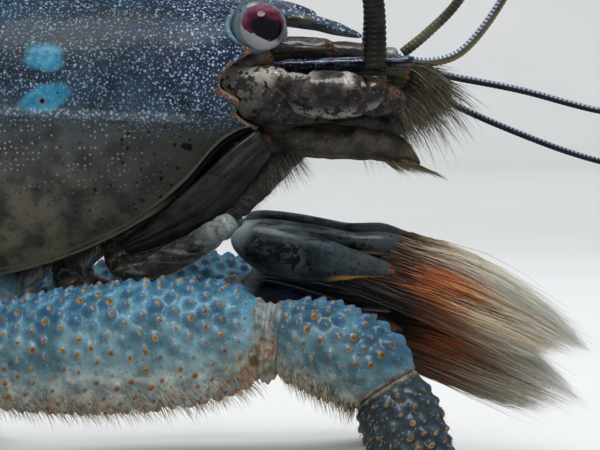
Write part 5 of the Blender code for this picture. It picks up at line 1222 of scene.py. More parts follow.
def sheet_paint():
    """Thin glassy sheet, dark olive with soft lengthwise streaks."""
    p = Paint("limb_sheet")
    share, along = p.mark("share"), p.mark("along")
    streak = p.noise(0.45, 3.0, (1.0, 0.1, 1.0), p.on_surface())
    colour = p.mix(p.step(p.noise(1.1, 3.0), 0.35, 0.65), rgb(18, 19, 15), rgb(36, 38, 30))
    colour = p.mix(p.times(p.step(streak, 0.52, 0.7), 0.3), colour, rgb(84, 86, 78))
    colour = p.mix(p.times(p.step(share, 0.14, 0.02), 0.8), colour, rgb(12, 11, 10))
    colour = p.mix(p.times(p.step(along, 0.25, 0.0), 0.7), colour, rgb(36, 20, 16))
    height = p.math("ADD", streak, p.noise(0.3, 3.0))
    return p.finish(colour, 0.4, height, 0.02, Coat_Weight=0.1, Coat_Roughness=0.2, Specular_IOR_Level=0.3)


def make_limb_sheets():
    """The sheet of each side, between its upper and its lower edge, with dark hairs along the lower one."""
    paint = sheet_paint()
    hair = hair_paint("sheet_hair", ((0.0, (20, 18, 14)), (0.5, (34, 32, 26)), (1.0, (66, 64, 54))), (96, 94, 80), 0.2)
    for side, sign in SIDES.items():
        upper = even(mirrored(SHEET_UPPER, sign), SHEET_ROWS)[0]
        lower = even(mirrored(SHEET_LOWER, sign), SHEET_ROWS)[0]
        share = np.linspace(0, 1, 28)[None, :]
        along = np.linspace(0, 1, SHEET_ROWS)[:, None]
        grid = lower[:, None] + (upper - lower)[:, None] * share[..., None]
        grid[..., 1] += sign * (0.35 * np.sin(math.pi * share) + 0.03 * np.sin(share * 26 + along * 4))
        normal = normals_of(grid)
        edge = np.minimum(share, 1 - share) * 4.5
        thick = 0.16 * np.clip(edge / 0.25, 0.3, 1) * np.clip(np.minimum(along, 1 - along) * 40, 0.3, 1)
        maps = np.stack([share * 4.5 + 0 * along, along * 14.0 + 0 * share], axis=-1) / 10
        shape = Shape()
        outer, inner = grid + normal * thick[..., None], grid - normal * thick[..., None]
        shape.slab(outer, inner, maps, share=share + 0 * along, along=along + 0 * share)
        shape.place(f"mouth_sheet_{side}", paint, "limb", ["mouth"])

        rng = np.random.default_rng(58 if sign < 0 else 59)
        count = 420
        place = rng.uniform(0.35, 1.0, count)
        row = (place * (SHEET_ROWS - 1)).astype(int)
        roots = grid[row, 1]
        aims = np.stack([0.9 + 0.5 * place, sign * rng.normal(0, 0.15, count), -0.75 + 0.2 * place], axis=-1)
        aims += rng.normal(0, 0.08, (count, 3))
        bend = rng.normal(0, 0.05, (count, 3)) + (0.0, 0.0, -0.15)
        hairs = Shape()
        uv = np.stack([rng.uniform(0.02, 0.2, count), 0.05 + 0.9 * place], axis=-1)
        paths = bent_hairs(roots, aims, rng.uniform(0.8, 2.2, count), bend, SHORT_HAIR_POINTS)
        hairs.strands(paths, 0.022, uv, shade=rng.uniform(0, 1, count))
        hairs.place(f"mouth_sheet_{side}_fringe", hair, "limb", ["mouth"], "OFBake")


def make_mouth():
    shape = Shape()
    block = Limb(MOUTH_BLOCK, LEVEL_SIDE, 54, 74, dome=(1.0, 1.2))
    relief = 0.22 * ripple(block.grid, 2.2, 51) + 0.07 * ripple(block.grid, 0.7, 52)
    folds = np.clip(ripple(block.grid, 1.6, 53) * 2 - 1.2, 0, 1)
    shape.tube(block.raised(relief), block.maps, up=block.up, joint=folds, pale=0.0)
    for sign in SIDES.values():
        lobe = Limb(mirrored(LABRUM, sign), LEVEL_SIDE, 40, 80, dome=(0.5, 0.7))
        rough = 0.10 * ripple(lobe.grid, 1.6, 56) + 0.03 * ripple(lobe.grid, 0.5, 59)
        shape.tube(lobe.raised(rough), lobe.maps, up=lobe.up, joint=0.0, pale=0.0)
    paint = horn_paint("mouth_skin", (14, 12, 12), (46, 42, 36), (120, 116, 100), 0.2, joint=(150, 78, 30), blotches=0.4)
    shape.place("mouth_parts", paint, "limb", ["mouth"])

    rng = np.random.default_rng(55)
    count = 620
    sign = np.where(rng.uniform(0, 1, count) < 0.5, -1, 1)
    share = rng.uniform(0, 1, count)
    roots = np.stack(
        [2.5 - 4.2 * share, sign * (3.2 + 0.5 * share), 27.0 - 2.2 * share + rng.normal(0, 0.3, count)], axis=-1,
    )
    aims = np.stack([0.9 - 1.3 * share, sign * 0.6, -2.2 + 0.3 * share], axis=-1)
    aims += rng.normal(0, 0.35, (count, 3))
    bend = np.stack([0.25 - 0.5 * share, -sign * 0.12, -0.1 * np.ones(count)], axis=-1)
    hairs = Shape()
    uv = np.stack([0.5 + 0.4 * sign * share, 0.1 + 0.8 * share], axis=-1)
    paths = bent_hairs(roots, aims, rng.uniform(1.0, 3.0, count), bend, SHORT_HAIR_POINTS)
    hairs.strands(paths, 0.026, uv, shade=rng.uniform(0, 1, count))
    comb = hair_paint("comb_hair", ((0.0, (30, 26, 20)), (0.5, (70, 66, 54)), (1.0, (130, 124, 106))), (168, 162, 144), 0.2)
    hairs.place("mouth_comb", comb, "limb", ["mouth"], "OFBake")


def make_jaw_legs():
    paint = horn_paint("jaw_skin", (24, 22, 16), (70, 63, 50), (120, 120, 104), 0.12, 1.6, (124, 72, 32), 0.3)
    hair = hair_paint("jaw_hair", ((0.0, (44, 36, 22)), (0.5, (86, 70, 42)), (1.0, (122, 108, 76))), (150, 142, 114))
    for side, sign in SIDES.items():
        limb = Limb(mirrored(JAW_LEG, sign), LEVEL_SIDE, 40, 130, dome=(0, 0.3))
        folds = joints_near(limb, (4.4, 8.1), 0.5)
        tip = np.clip((limb.share - 0.82) * 6, 0, 1)
        shape = Shape()
        grid = limb.raised(0.07 * ripple(limb.grid, 1.6, 61) - 0.07 * folds)
        shape.tube(grid, limb.maps, up=limb.up, joint=np.maximum(0.15 * folds, tip), pale=0.0)
        shape.place(f"maxilliped_{side}_limb", paint, "limb", [f"maxilliped_{side}"])

        rng = np.random.default_rng(63 if sign < 0 else 64)
        count = 300
        share = rng.uniform(0.62, 1.0, count)
        roots = spline(mirrored(JAW_LEG, sign), share * 6)
        drop = roots[:, 4] * 0.7
        roots = roots[:, :3] + np.stack([0 * drop, sign * rng.normal(0, 0.3, count), -drop], axis=-1)
        aims = np.stack([0.9 + 0.3 * share, sign * rng.normal(0.0, 0.2, count), -1.1 + 0.5 * share], axis=-1)
        bend = rng.normal(0, 0.06, (count, 3)) + (0.1, 0, -0.06)
        hairs = Shape()
        uv = np.stack([rng.uniform(0.2, 0.8, count), 0.05 + 0.9 * share], axis=-1)
        paths = bent_hairs(roots, aims, rng.uniform(1.0, 2.4, count), bend, SHORT_HAIR_POINTS)
        hairs.strands(paths, 0.035, uv, shade=rng.uniform(0, 1, count))
        hairs.place(f"maxilliped_{side}_hair", hair, "limb", [f"maxilliped_{side}"], "OFBake")


# Fan legs

FAN_ARMS = {
    1: [
        (-11.6, 2.6, 20.4, 1.1, 1.1), (-11.0, 4.4, 17.9, 1.15, 1.15), (-9.2, 5.7, 17.5, 1.1, 1.15),
        (-6.0, 6.3, 18.9, 1.05, 1.1), (-3.4, 7.0, 20.6, 1.0, 1.0), (-2.1, 7.6, 21.3, 0.85, 0.85),
    ],
    2: [
        (-15.6, 2.6, 18.5, 1.2, 1.2), (-14.8, 4.2, 15.8, 1.25, 1.25), (-12.4, 5.2, 14.6, 1.15, 1.2),
        (-8.0, 5.7, 14.2, 1.1, 1.15), (-4.0, 6.1, 14.8, 1.05, 1.1), (-1.9, 6.4, 15.6, 0.9, 0.9),
    ],
}
OUTER_FINGER = [
    (-1.75, 7.9, 20.9, 0.5, 0.7), (-1.0, 8.2, 20.1, 0.95, 1.5), (1.0, 8.6, 19.2, 1.15, 1.95),
    (3.8, 8.8, 18.6, 1.1, 1.8), (6.4, 8.7, 18.2, 0.9, 1.25), (8.8, 8.6, 17.8, 0.6, 0.75),
    (10.6, 8.5, 17.4, 0.15, 0.2),
]
INNER_FINGER = [
    (-1.6, 7.5, 20.8, 0.5, 0.6), (0.4, 7.3, 20.6, 0.85, 0.95), (4.0, 7.2, 20.1, 0.85, 0.95),
    (6.8, 7.2, 19.75, 0.7, 0.75), (9.8, 7.2, 19.6, 0.8, 0.85), (12.6, 7.2, 19.1, 0.25, 0.3),
]
BRUSH_ROOTS = [(12.0, 7.3, 19.5), (11.2, 7.4, 18.9), (10.2, 8.1, 17.8), (8.4, 8.4, 17.0), (6.0, 8.5, 16.9)]
BRUSH_TIP, BRUSH_TOP, BRUSH_FOOT = (25.2, 7.6, 11.5), (18.6, 7.5, 17.0), (18.0, 7.6, 12.6)
CLAW_MOVES = {1: (0.0, 0.0, 0.0), 2: (0.3, -1.7, -4.55)}
BRUSH_CLUMPS = 90


def brush_hairs(rng, count):
    """Hairs of a left fan at its first place: gathered in clumps, they meet in a point like a wet brush."""
    clump = rng.integers(0, BRUSH_CLUMPS, count)
    clump_share = (np.arange(BRUSH_CLUMPS) + rng.uniform(0.0, 1.0, BRUSH_CLUMPS)) / BRUSH_CLUMPS
    clump_side = rng.uniform(-1.1, 1.1, BRUSH_CLUMPS)
    clump_shade = rng.uniform(0, 1, BRUSH_CLUMPS)
    clump_reach = rng.uniform(0.84, 1.0, BRUSH_CLUMPS)
    loose = rng.uniform(0, 1, count) < 0.3
    share = np.clip(clump_share[clump] + np.where(loose, rng.normal(0, 0.07, count), rng.normal(0, 0.014, count)), 0, 1)
    root_share = np.clip(clump_share[clump] + rng.normal(0, 0.05, count), 0, 1)
    side = clump_side[clump] + rng.normal(0, 0.12, count) + loose * rng.normal(0, 0.3, count)
    roots = spline(BRUSH_ROOTS, root_share * (len(BRUSH_ROOTS) - 1))
    along_finger = rng.uniform(-1.6, 0.3, count)
    roots = roots + np.stack([along_finger, 0.5 * side, -0.15 * along_finger + rng.normal(0, 0.14, count)], axis=-1)
    top, foot, tip = np.array(BRUSH_TOP), np.array(BRUSH_FOOT), np.array(BRUSH_TIP)
    spread = 1 - 0.55 * np.abs(share - 0.35)
    back = -3.4 * np.maximum(0.0, share - 0.45) * 2 - 1.2 * (1 - spread)
    zero = np.zeros(count)
    wild = rng.normal(0, 1, (count, 3)) * np.where(rng.uniform(0, 1, count) < 0.14, 0.7, 0.14)[:, None]
    end = tip + np.stack([back, 0.45 * side, -0.5 * share], axis=-1) + wild
    middle = top + (foot - top) * share[:, None] + np.stack([-2.2 * share, side, zero], axis=-1)
    middle += rng.normal(0, 0.09, (count, 3)) + 0.42 * wild
    reach = clump_reach[clump] * rng.uniform(0.74, 1.03, count)
    t = np.linspace(0, 1, HAIR_POINTS)[None, :, None] * reach[:, None, None]
    paths = (
        roots[:, None] * (2 * (t - 0.5) * (t - 1))
        + middle[:, None] * (-4 * t * (t - 1))
        + end[:, None] * (2 * t * (t - 0.5))
    )
    wave = np.sin(2 * math.pi * (t * 1.4 + rng.uniform(0, 1, (count, 1, 1)))) * t * 0.08
    paths = paths + wave * np.array([0.1, 0.6, 0.8])
    shade = np.clip(0.5 * clump_shade[clump] + 0.5 * rng.uniform(0, 1, count), 0, 1)
    return paths, shade, share, np.stack([0.5 + 0.3 * side / 1.6, 0.05 + 0.9 * root_share], axis=-1)


def brush_paint(name, shade_factor=1.0):
    """Hairs of a fan: dark at the root, orange in its middle, cream at the tip and along the top edge."""
    p = Paint(name)
    lane, tone = p.mark("lane"), p.mark("shade")
    along = p.math("ADD", p.mark("along"), p.math("MULTIPLY_ADD", tone, 0.24, -0.12))

    # Colours scaled by the shade factor, which paints shade on the brush of the fan that lies in shadow.
    def shaded(red, green, blue):
        return rgb(red * shade_factor, green * shade_factor, blue * shade_factor)

    gap = p.step(p.math("ABSOLUTE", p.math("SUBTRACT", lane, 0.52)), 0.12, 0.04)
    gap = p.times(gap, p.step(along, 0.3, 0.42), p.step(along, 0.86, 0.66), 0.7)
    streak = p.step(p.math("ABSOLUTE", p.math("SUBTRACT", lane, 0.7)), 0.14, 0.05)
    streak = p.times(streak, p.step(along, 0.46, 0.62), 0.8)
    middle = p.ramp(
        along, (0.0, shaded(28, 20, 14)), (0.16, shaded(78, 38, 14)), (0.3, shaded(192, 98, 36)),
        (0.5, shaded(224, 140, 72)), (0.64, shaded(232, 204, 162)), (1.0, rgb(244, 246, 236)),
    )
    top = p.ramp(
        along, (0.0, shaded(84, 66, 52)), (0.12, shaded(164, 140, 114)), (0.4, shaded(206, 196, 174)),
        (0.7, shaded(214, 212, 196)), (1.0, rgb(242, 246, 238)),
    )
    foot = p.ramp(
        along, (0.0, shaded(22, 17, 14)), (0.22, shaded(44, 28, 18)), (0.45, shaded(136, 76, 38)),
        (0.65, shaded(168, 148, 120)), (1.0, rgb(214, 216, 204)),
    )
    colour = p.mix(p.step(lane, 0.34, 0.12), middle, top)
    colour = p.mix(p.step(lane, 0.5, 0.8), colour, foot)
    colour = p.mix(gap, colour, shaded(74, 44, 24))
    colour = p.mix(streak, colour, shaded(246, 228, 190))
    pale = p.times(p.step(tone, 0.76, 0.8), p.step(along, 0.3, 0.6), 0.5)
    colour = p.mix(pale, colour, shaded(220, 214, 196))
    fine = p.noise(0.4, 2.0)
    colour = p.mix(p.times(p.step(fine, 0.52, 0.78), 0.3), colour, shaded(60, 40, 26))
    return p.finish(colour, 0.42, None, Sheen_Weight=0.15)


def make_fan_legs():
    arm_paint = horn_paint("arm_skin", (24, 23, 20), (56, 53, 47), (140, 156, 160), 0.12, blotches=0.3, gleam=0.35)
    outer_paint = claw_paint("finger_outer", (27, 33, 35), (50, 60, 63), (78, 92, 102), 1.0)
    # The second fan's claw and brush are darker copies: painted shade for the fan that lies behind, in shadow.
    second_paint = claw_paint("finger_second", (10, 12, 18), (26, 31, 44), (44, 52, 72), 0.3)
    brush_paints = {1: brush_paint("brush_hair"), 2: brush_paint("brush_hair_second", 0.78)}
    for side, sign in SIDES.items():
        for number in (1, 2):
            name = f"fan_leg_{number}_{side}"
            arm = Limb(mirrored(FAN_ARMS[number], sign), LEVEL_SIDE, 36, 130, dome=(0, 0.5))
            folds = joints_near(arm, (3.2, arm.length - 1.6), 0.5)
            pale = np.clip((arm.share - 0.76) * 6, 0, 1)
            shape = Shape()
            grid = arm.raised(0.05 * ripple(arm.grid, 1.3, 71) - 0.12 * folds)
            shape.tube(grid, arm.maps, up=arm.up, joint=folds * 0.4, pale=pale)
            shape.place(f"{name}_arm_skin", arm_paint, "limb", [f"{name}_arm"])

            move = np.array(CLAW_MOVES[number])
            shape = Shape()
            for rows, around in ((OUTER_FINGER, 40), (INNER_FINGER, 30)):
                placed = np.array(rows, float)
                placed[:, :3] += move
                finger = Limb(mirrored(placed, sign), LEVEL_SIDE, around, 84, dome=(0.2, 0.3))
                pale = np.clip(1 - finger.share * 9, 0, 1)
                grid = finger.raised(0.025 * ripple(finger.grid, 2.2, 73))
                shape.tube(grid, finger.maps, up=finger.up, share=finger.share, pale=pale)
            shape.place(f"{name}_claw_fingers", outer_paint if number == 1 else second_paint, "brush", [f"{name}_claw"])

            count = 6600 if number == 1 else 2000
            rng = np.random.default_rng(80 + 2 * number + (sign > 0))
            paths, shade, lane, uv = brush_hairs(rng, count)
            paths = (paths + move) * (1, sign, 1)
            hairs = Shape()
            thickest = 0.055 if number == 1 else 0.034
            hairs.strands(paths, rng.uniform(0.024, thickest, count), uv, shade=shade, lane=lane)
            hairs.place(f"{name}_claw_brush", brush_paints[number], "brush", [f"{name}_claw"], "OFBake")


# Walking legs

STOUT_BASE = [
    (-20.6, 3.0, 17.6, 2.1, 2.1), (-21.2, 5.0, 14.2, 2.3, 2.3), (-22.0, 8.2, 11.9, 2.5, 2.6),
    (-21.0, 11.0, 11.6, 2.3, 2.4),
]
STOUT_LEG = [
    (-24.2, 9.6, 11.3, 1.3, 1.4), (-22.6, 10.6, 11.4, 2.7, 2.7), (-18.2, 12.2, 11.7, 3.4, 3.9),
    (-11.8, 13.6, 12.3, 3.9, 4.5), (-5.6, 14.4, 12.9, 3.8, 4.4), (-1.3, 14.8, 13.3, 3.1, 3.5),
    (0.6, 15.0, 13.4, 2.1, 2.3), (2.4, 15.2, 13.2, 2.6, 2.9), (5.4, 15.9, 12.4, 2.9, 3.3),
    (8.0, 16.6, 11.0, 2.8, 3.1), (9.2, 17.0, 9.7, 2.3, 2.5), (10.0, 17.5, 7.9, 2.6, 2.9),
    (10.9, 18.1, 5.4, 2.5, 2.8), (11.9, 18.8, 2.9, 1.9, 2.1), (12.6, 19.4, 0.9, 1.1, 1.1),
    (13.0, 19.8, -0.8, 0.75, 0.75),
]
MERUS_END, CARPUS_END = 6, 10
STOUT_TURN = {"right": 0.0, "left": 5.0}
WALKING_LEGS = {
    4: [
        (-25.2, 3.0, 17.2, 1.5, 1.5), (-25.4, 4.6, 14.8, 1.6, 1.6), (-26.0, 7.6, 13.6, 1.5, 1.6),
        (-26.6, 11.8, 14.6, 1.7, 1.9), (-26.8, 16.0, 15.0, 1.5, 1.7), (-26.6, 18.6, 13.8, 1.25, 1.35),
        (-26.2, 20.8, 10.6, 1.25, 1.4), (-25.9, 22.2, 6.4, 1.0, 1.1), (-25.7, 23.0, 2.4, 0.75, 0.8),
        (-25.6, 23.3, -0.8, 0.55, 0.55),
    ],
    5: [
        (-29.6, 2.8, 17.4, 1.4, 1.4), (-30.2, 4.4, 15.0, 1.5, 1.5), (-31.6, 7.2, 13.8, 1.4, 1.5),
        (-34.0, 10.8, 14.6, 1.6, 1.8), (-36.4, 14.2, 15.0, 1.4, 1.6), (-37.8, 16.2, 13.6, 1.15, 1.25),
        (-39.4, 18.0, 10.2, 1.15, 1.3), (-40.8, 19.4, 6.2, 0.9, 1.0), (-41.8, 20.4, 2.3, 0.7, 0.75),
        (-42.4, 21.0, -0.8, 0.5, 0.5),
    ],
}
LOWEST, HAIR_LOWEST = 0.02, 0.06


def on_floor(grid, lowest=LOWEST):
    """The grid with nothing below the floor."""
    held = np.array(grid)
    held[..., 2] = np.maximum(held[..., 2], lowest)
    return held


def add_studded(shape, rows, first, last, around, height, spacing, seed, dark=0.0, ends=(1.6, 0.8)):
    """A length of the stout leg covered in leaning tubercles. ends is how much is smooth at each end."""
    length = even(rows, 10, first, last)[2]
    limb = Limb(rows, LEVEL_SIDE, around, int(length / 0.13), first, last, dome=(0.5 * (first == 0), 0.25))
    clear = np.clip((limb.s - ends[0] * 0.4) / (ends[0] * 0.6), 0, 1)
    if ends[1]:
        clear = clear * np.clip((limb.length - limb.s - ends[1] * 0.4) / (ends[1] * 0.6), 0, 1)
    bump = studs(limb, spacing, spacing * 0.47, seed)
    profile = np.sin(bump * math.pi / 2) ** 1.5 * clear
    size = height * (0.62 + 0.38 * np.abs(limb.up))
    grains = studs(limb, spacing * 0.45, spacing * 0.19, seed + 3) * (1 - bump) * clear
    relief = size * profile + 0.16 * height * grains
    relief += 0.06 * ripple(limb.grid, 1.8, seed) + 0.02 * ripple(limb.grid, 0.6, seed + 1)
    grid = on_floor(limb.raised(relief, 0.45))
    eye = np.clip((np.roll(bump, 1, axis=0) - 0.46 - 0.14 * ripple(limb.grid, 3.0, seed + 2)) * 2.4, 0, 1) * clear
    lower = 0.3 + 0.4 * (1 - limb.up)
    joint = np.clip(1 - (limb.length - limb.s) / (ends[1] * lower), 0, 1) if ends[1] else 0 * limb.s
    joint = np.maximum(joint, np.clip(1 - limb.s / (ends[0] * lower), 0, 1) * (first > 0))
    shape.tube(grid, limb.maps, up=limb.up, stud=profile, eye=eye, joint=joint, dark=dark, share=limb.share)
    return limb


def stout_rows(side, sign):
    """The rows of one stout leg, swung about its root."""
    rows, base = mirrored(STOUT_LEG, sign), mirrored(STOUT_BASE, sign)
    angle = math.radians(STOUT_TURN[side])
    spin = np.array([[math.cos(angle), -math.sin(angle)], [math.sin(angle), math.cos(angle)]])
    rows[:, :2] = (rows[:, :2] - base[2][:2]) @ spin.T + base[2][:2]
    return rows, base


def limb_hairs(limb, rng, count, low, first=0.1, last=0.95, length=(0.6, 1.4), bend=(0.0, 0.0, -0.15)):
    """Hairs out of the part of a limb whose face points to less than low upwards, with their place on it."""
    rows, columns = np.nonzero((limb.up < low) & (limb.share > first) & (limb.share < last))
    chosen = rng.integers(0, len(rows), count)
    i, j = rows[chosen], columns[chosen]
    roots = limb.grid[i, j] - limb.out[i, j] * 0.1
    aims = limb.out[i, j] + limb.tangents[i] * 0.7 + rng.normal(0, 0.22, (count, 3))
    bends = np.array(bend) + rng.normal(0, 0.05, (count, 3))
    paths = bent_hairs(roots, aims, rng.uniform(*length, count), bends, SHORT_HAIR_POINTS)
    uv = np.stack([0.04 + 0.9 * j / limb.grid.shape[1], 0.04 + 0.9 * limb.share[i, 0]], axis=-1)
    return on_floor(paths, HAIR_LOWEST), uv


def make_walking_legs():
    paint = leg_paint()
    hair = hair_paint("leg_hair", ((0.0, (104, 72, 40)), (0.5, (150, 116, 70)), (1.0, (180, 168, 130))), (206, 200, 172))
    for side, sign in SIDES.items():
        rows, base = stout_rows(side, sign)
        rng = np.random.default_rng(95 + (sign > 0))
        parts = {
            "merus": (0, MERUS_END, 150, 0.46, 1.3, (2.4, 2.1), 0.0),
            "carpus": (MERUS_END, CARPUS_END, 124, 0.44, 1.16, (1.4, 1.2), 0.32),
            "propodus": (CARPUS_END, len(rows) - 1, 108, 0.38, 1.1, (0.8, 0.0), 1.0),
        }
        for place, half, shrink in ((MERUS_END, 0.75, 0.93), (CARPUS_END, 0.8, 0.9)):
            knee = Limb(rows, LEVEL_SIDE, 72, 44, place - half, place + half)
            folds = 0.10 * np.sin(knee.share * 26) + 0.14 * ripple(knee.grid, 1.5, 98)
            sag = 0.35 + 0.95 * np.clip(-knee.up, 0, 1) ** 1.5
            swell = sag * np.sin(math.pi * knee.share) * (place == MERUS_END)
            middle = knee.values[:, None, :3]
            grid = middle + (knee.grid - middle) * shrink + knee.out * (folds + swell)[..., None]
            skin = Shape()
            skin.tube(grid, knee.maps, up=knee.up, stud=0.0, eye=0.0, joint=1.0, dark=0.0, share=0.5)
            near = "carpus" if place == MERUS_END else "propodus"
            skin.place(f"leg_3_{side}_{near}_joint", paint, "leg", [f"leg_3_{side}_{near}"])
        for number, (part, (first, last, around, height, spacing, ends, dark)) in enumerate(parts.items()):
            shape = Shape()
            seed = 100 + 10 * number + (sign > 0)
            limb = add_studded(shape, rows, first, last, around, height, spacing, seed, dark, ends)
            if part == "merus":
                hip = Limb(base, (1, 0, 0), 60, 90, dome=(0, 0.8))
                folds = joints_near(hip, (3.6, 7.2), 0.5)
                grid = hip.raised(0.08 * ripple(hip.grid, 1.6, 99) - 0.18 * folds)
                shape.tube(grid, hip.maps, up=hip.up, stud=0.0, eye=0.0, joint=folds, dark=0.3, share=0.0)
            shape.place(f"leg_3_{side}_{part}_shell", paint, "leg", [f"leg_3_{side}_{part}"])
            count, low, longest = ((1700, -0.5, 1.9), (560, -0.5, 1.8), (420, 2.0, 0.9))[number]
            paths, uv = limb_hairs(limb, rng, count, low, length=(0.4, longest))
            hairs = Shape()
            hairs.strands(paths, 0.03, uv, shade=rng.uniform(0, 1, count))
            hairs.place(f"leg_3_{side}_{part}_hair", hair, "leg", [f"leg_3_{side}_{part}"], "OFBake")
        for number, leg_rows in WALKING_LEGS.items():
            placed = mirrored(leg_rows, sign)
            length = even(placed, 10)[2]
            limb = Limb(placed, (1, 0, 0), 42, int(length / 0.19), dome=(0.4, 0))
            bump = studs(limb, 1.0, 0.5, 130 + number)
            profile = bump**2 * (3 - 2 * bump) * np.clip((limb.share - 0.3) * 8, 0, 1)
            profile = profile * np.clip((0.93 - limb.share) * 12, 0, 1)
            at = [limb.length * share for share in (0.16, 0.3, 0.62)]
            folds = joints_near(limb, at, 0.7)
            relief = 0.22 * profile + 0.05 * ripple(limb.grid, 1.3, 131) - 0.16 * folds
            dark = np.clip((limb.share - 0.88) * 14, 0, 1)
            shape = Shape()
            shape.tube(
                on_floor(limb.raised(relief, 0.3)), limb.maps, up=limb.up, stud=profile,
                eye=np.clip(profile * 2 - 1, 0, 1), joint=folds * 0.8, dark=dark, share=limb.share,
            )
            shape.place(f"leg_{number}_{side}_shell", paint, "leg", [f"leg_{number}_{side}"])
            paths, uv = limb_hairs(limb, rng, 900, 2.0, 0.45, 0.97, (0.4, 1.0), (0.0, 0.0, -0.05))
            hairs = Shape()
            hairs.strands(paths, 0.025, uv, shade=rng.uniform(0, 1, 900))
            hairs.place(f"leg_{number}_{side}_hair", hair, "leg", [f"leg_{number}_{side}"], "OFBake")


# Abdomen and tail

DENSE_S = np.linspace(0, 62, 1241)
DENSE_ANGLE = np.radians(smooth(DENSE_S, DROOP_S, DROOP_DEGREES))
STEP_S = DENSE_S[1] - DENSE_S[0]
MIDDLE_X = ABDOMEN_START[0] - np.concatenate([[0], np.cumsum(np.cos(DENSE_ANGLE[:-1]) * STEP_S)])
MIDDLE_Z = ABDOMEN_START[1] - np.concatenate([[0], np.cumsum(np.sin(DENSE_ANGLE[:-1]) * STEP_S)])
SEGMENT_STARTS = np.concatenate([[0.0], np.cumsum(ABDOMEN_LENGTHS)])


def abdomen_point(s, y, up):
    """A point beside the middle line of the abdomen: s along it, y to the left and up square to it."""
    angle = np.interp(s, DENSE_S, DENSE_ANGLE)
    x = np.interp(s, DENSE_S, MIDDLE_X) - np.sin(angle) * up
    z = np.interp(s, DENSE_S, MIDDLE_Z) + np.cos(angle) * up
    return np.stack(np.broadcast_arrays(x, y, z), axis=-1)


def boundary(number, level):
    """Where the joint before segment number lies along the middle line, at a level of the hoop."""
    lean = PLEURON_SHIFT[number] * (1 - np.minimum(1.0, level / 0.55)) ** 1.2
    return SEGMENT_STARTS[number] + lean


def segment_point(number, share, level, overhang=0.7):
    """A point on the left of an abdominal hoop, whose hind edge reaches over the next one."""
    front = boundary(number, level)
    back = boundary(number + 1, level) - 0.18
    s = front + (back - front) * share
    s = s + overhang * np.clip(share * 4 - 3, 0, 1) ** 2 * np.clip((level - 0.3) * 4, 0, 1)
    up, down, width = (smooth(s, ABDOMEN_S, row) for row in (ABDOMEN_UP, ABDOMEN_DOWN, ABDOMEN_HALF_WIDTH))
    tuck = 1 - 0.06 * (1 - share) ** 2
    middle = 2 * share - 1
    lobe = 1 - 0.16 * np.abs(middle if number < 5 else np.minimum(0.0, middle)) ** 3
    height = -down * lobe + (up * tuck + down * lobe) * level
    return abdomen_point(s, width * tuck * hull_width(level, 0.45, 0.72), height)


# Flesh that joins the abdomen to the inside of the carapace.
NECK = [(-31.5, 0, 28.2, 6.3, 7.4), (-35.2, 0, 28.2, 6.75, 7.75), (-38.6, 0, 27.9, 6.6, 7.6)]


def make_abdomen():
    paint = abdomen_paint()
    for number in range(6):
        level, sign, _ = ring_levels(lambda k: segment_point(number, 0.5, k), 0, 0.4)
        length = ABDOMEN_LENGTHS[number]
        share = edge_spaced(length, 0.34) / length
        grid = segment_point(number, share[:, None], level[None, :])
        grid[..., 1] *= sign
        centre = abdomen_point(SEGMENT_STARTS[number] + length / 2, 0.0, 0.0)
        normal = normals_of(grid)
        normal *= np.sign(np.einsum("ijk,ijk->ij", normal, grid - centre))[..., None]
        lower, arc = edge_distance(grid)
        hind = (1 - share[:, None]) * length * np.ones_like(arc)
        edge = np.minimum(lower, hind)
        relief = 0.07 * ripple(grid, 3.5, 141 + number) + 0.02 * ripple(grid, 1.2, 151 + number)
        relief += 0.12 * np.exp(-(((edge - 0.35) / 0.2) ** 2)) - 0.07 * np.exp(-(((edge - 0.8) / 0.2) ** 2))
        relief += rounded_rim(np.minimum(edge, share[:, None] * length), 0.22)
        outer = grid + normal * relief[..., None]
        inner = grid - normal * 0.45
        maps = np.stack([arc, share[:, None] * length + 0 * arc], axis=-1) / 10
        shape = Shape()
        shape.slab(on_floor(outer), on_floor(inner), maps, hem=edge, level=np.broadcast_to(level, arc.shape), ridge=0.0)
        shape.place(f"abdomen_{number + 1}_hoop", paint, "shell", [f"abdomen_{number + 1}"])

    rows = []
    for s in np.linspace(-1.0, SEGMENT_STARTS[-1] - 0.5, 12):
        up, down, width = (float(smooth(s, ABDOMEN_S, row)) for row in (ABDOMEN_UP, ABDOMEN_DOWN, ABDOMEN_HALF_WIDTH))
        centre = abdomen_point(max(s, 0.0), 0.0, (0.8 * up - 0.42 * down) / 2)
        rows.append((*centre, width * 0.8, (0.8 * up + 0.42 * down) / 2))
    core = Limb(rows, LEVEL_SIDE, 60, 150, dome=(0.5, 0.5))
    neck = Limb(NECK, LEVEL_SIDE, 80, 60, dome=(1.5, 1.5))
    shape = Shape()
    for flesh in (core, neck):
        shape.tube(flesh.raised(0.1 * ripple(flesh.grid, 2.0, 161)), flesh.maps, up=flesh.up, joint=0.0, pale=0.0)
    skin = horn_paint("belly_skin", (62, 54, 44), (104, 94, 78), (160, 150, 130), 0.3)
    shape.place("abdomen_belly", skin, "shell", [f"abdomen_{number + 1}" for number in range(6)])


def blade_grid(root, aim, flat, length, width, rows, columns, bow=0.0):
    """The middle of a leaf-shaped blade from root towards aim, flat across flat, and its coordinates."""
    aim = unit(aim)
    across = unit(np.array(flat) - np.dot(flat, aim) * aim)
    deep = np.cross(aim, across)
    share = np.linspace(0, 1, rows)[:, None]
    t = np.linspace(-1, 1, columns)[None, :]
    half = 0.5 * width * (0.42 + 0.58 * np.sin(math.pi * (0.12 + 0.62 * share))) * (1 - 0.45 * share**5)
    reach = length * share * (1 - 0.1 * t * t * share)
    grid = np.asarray(root) + aim * reach[..., None] + across * (half * t)[..., None]
    return grid + deep * (bow * t * t + 0 * share)[..., None], share, t


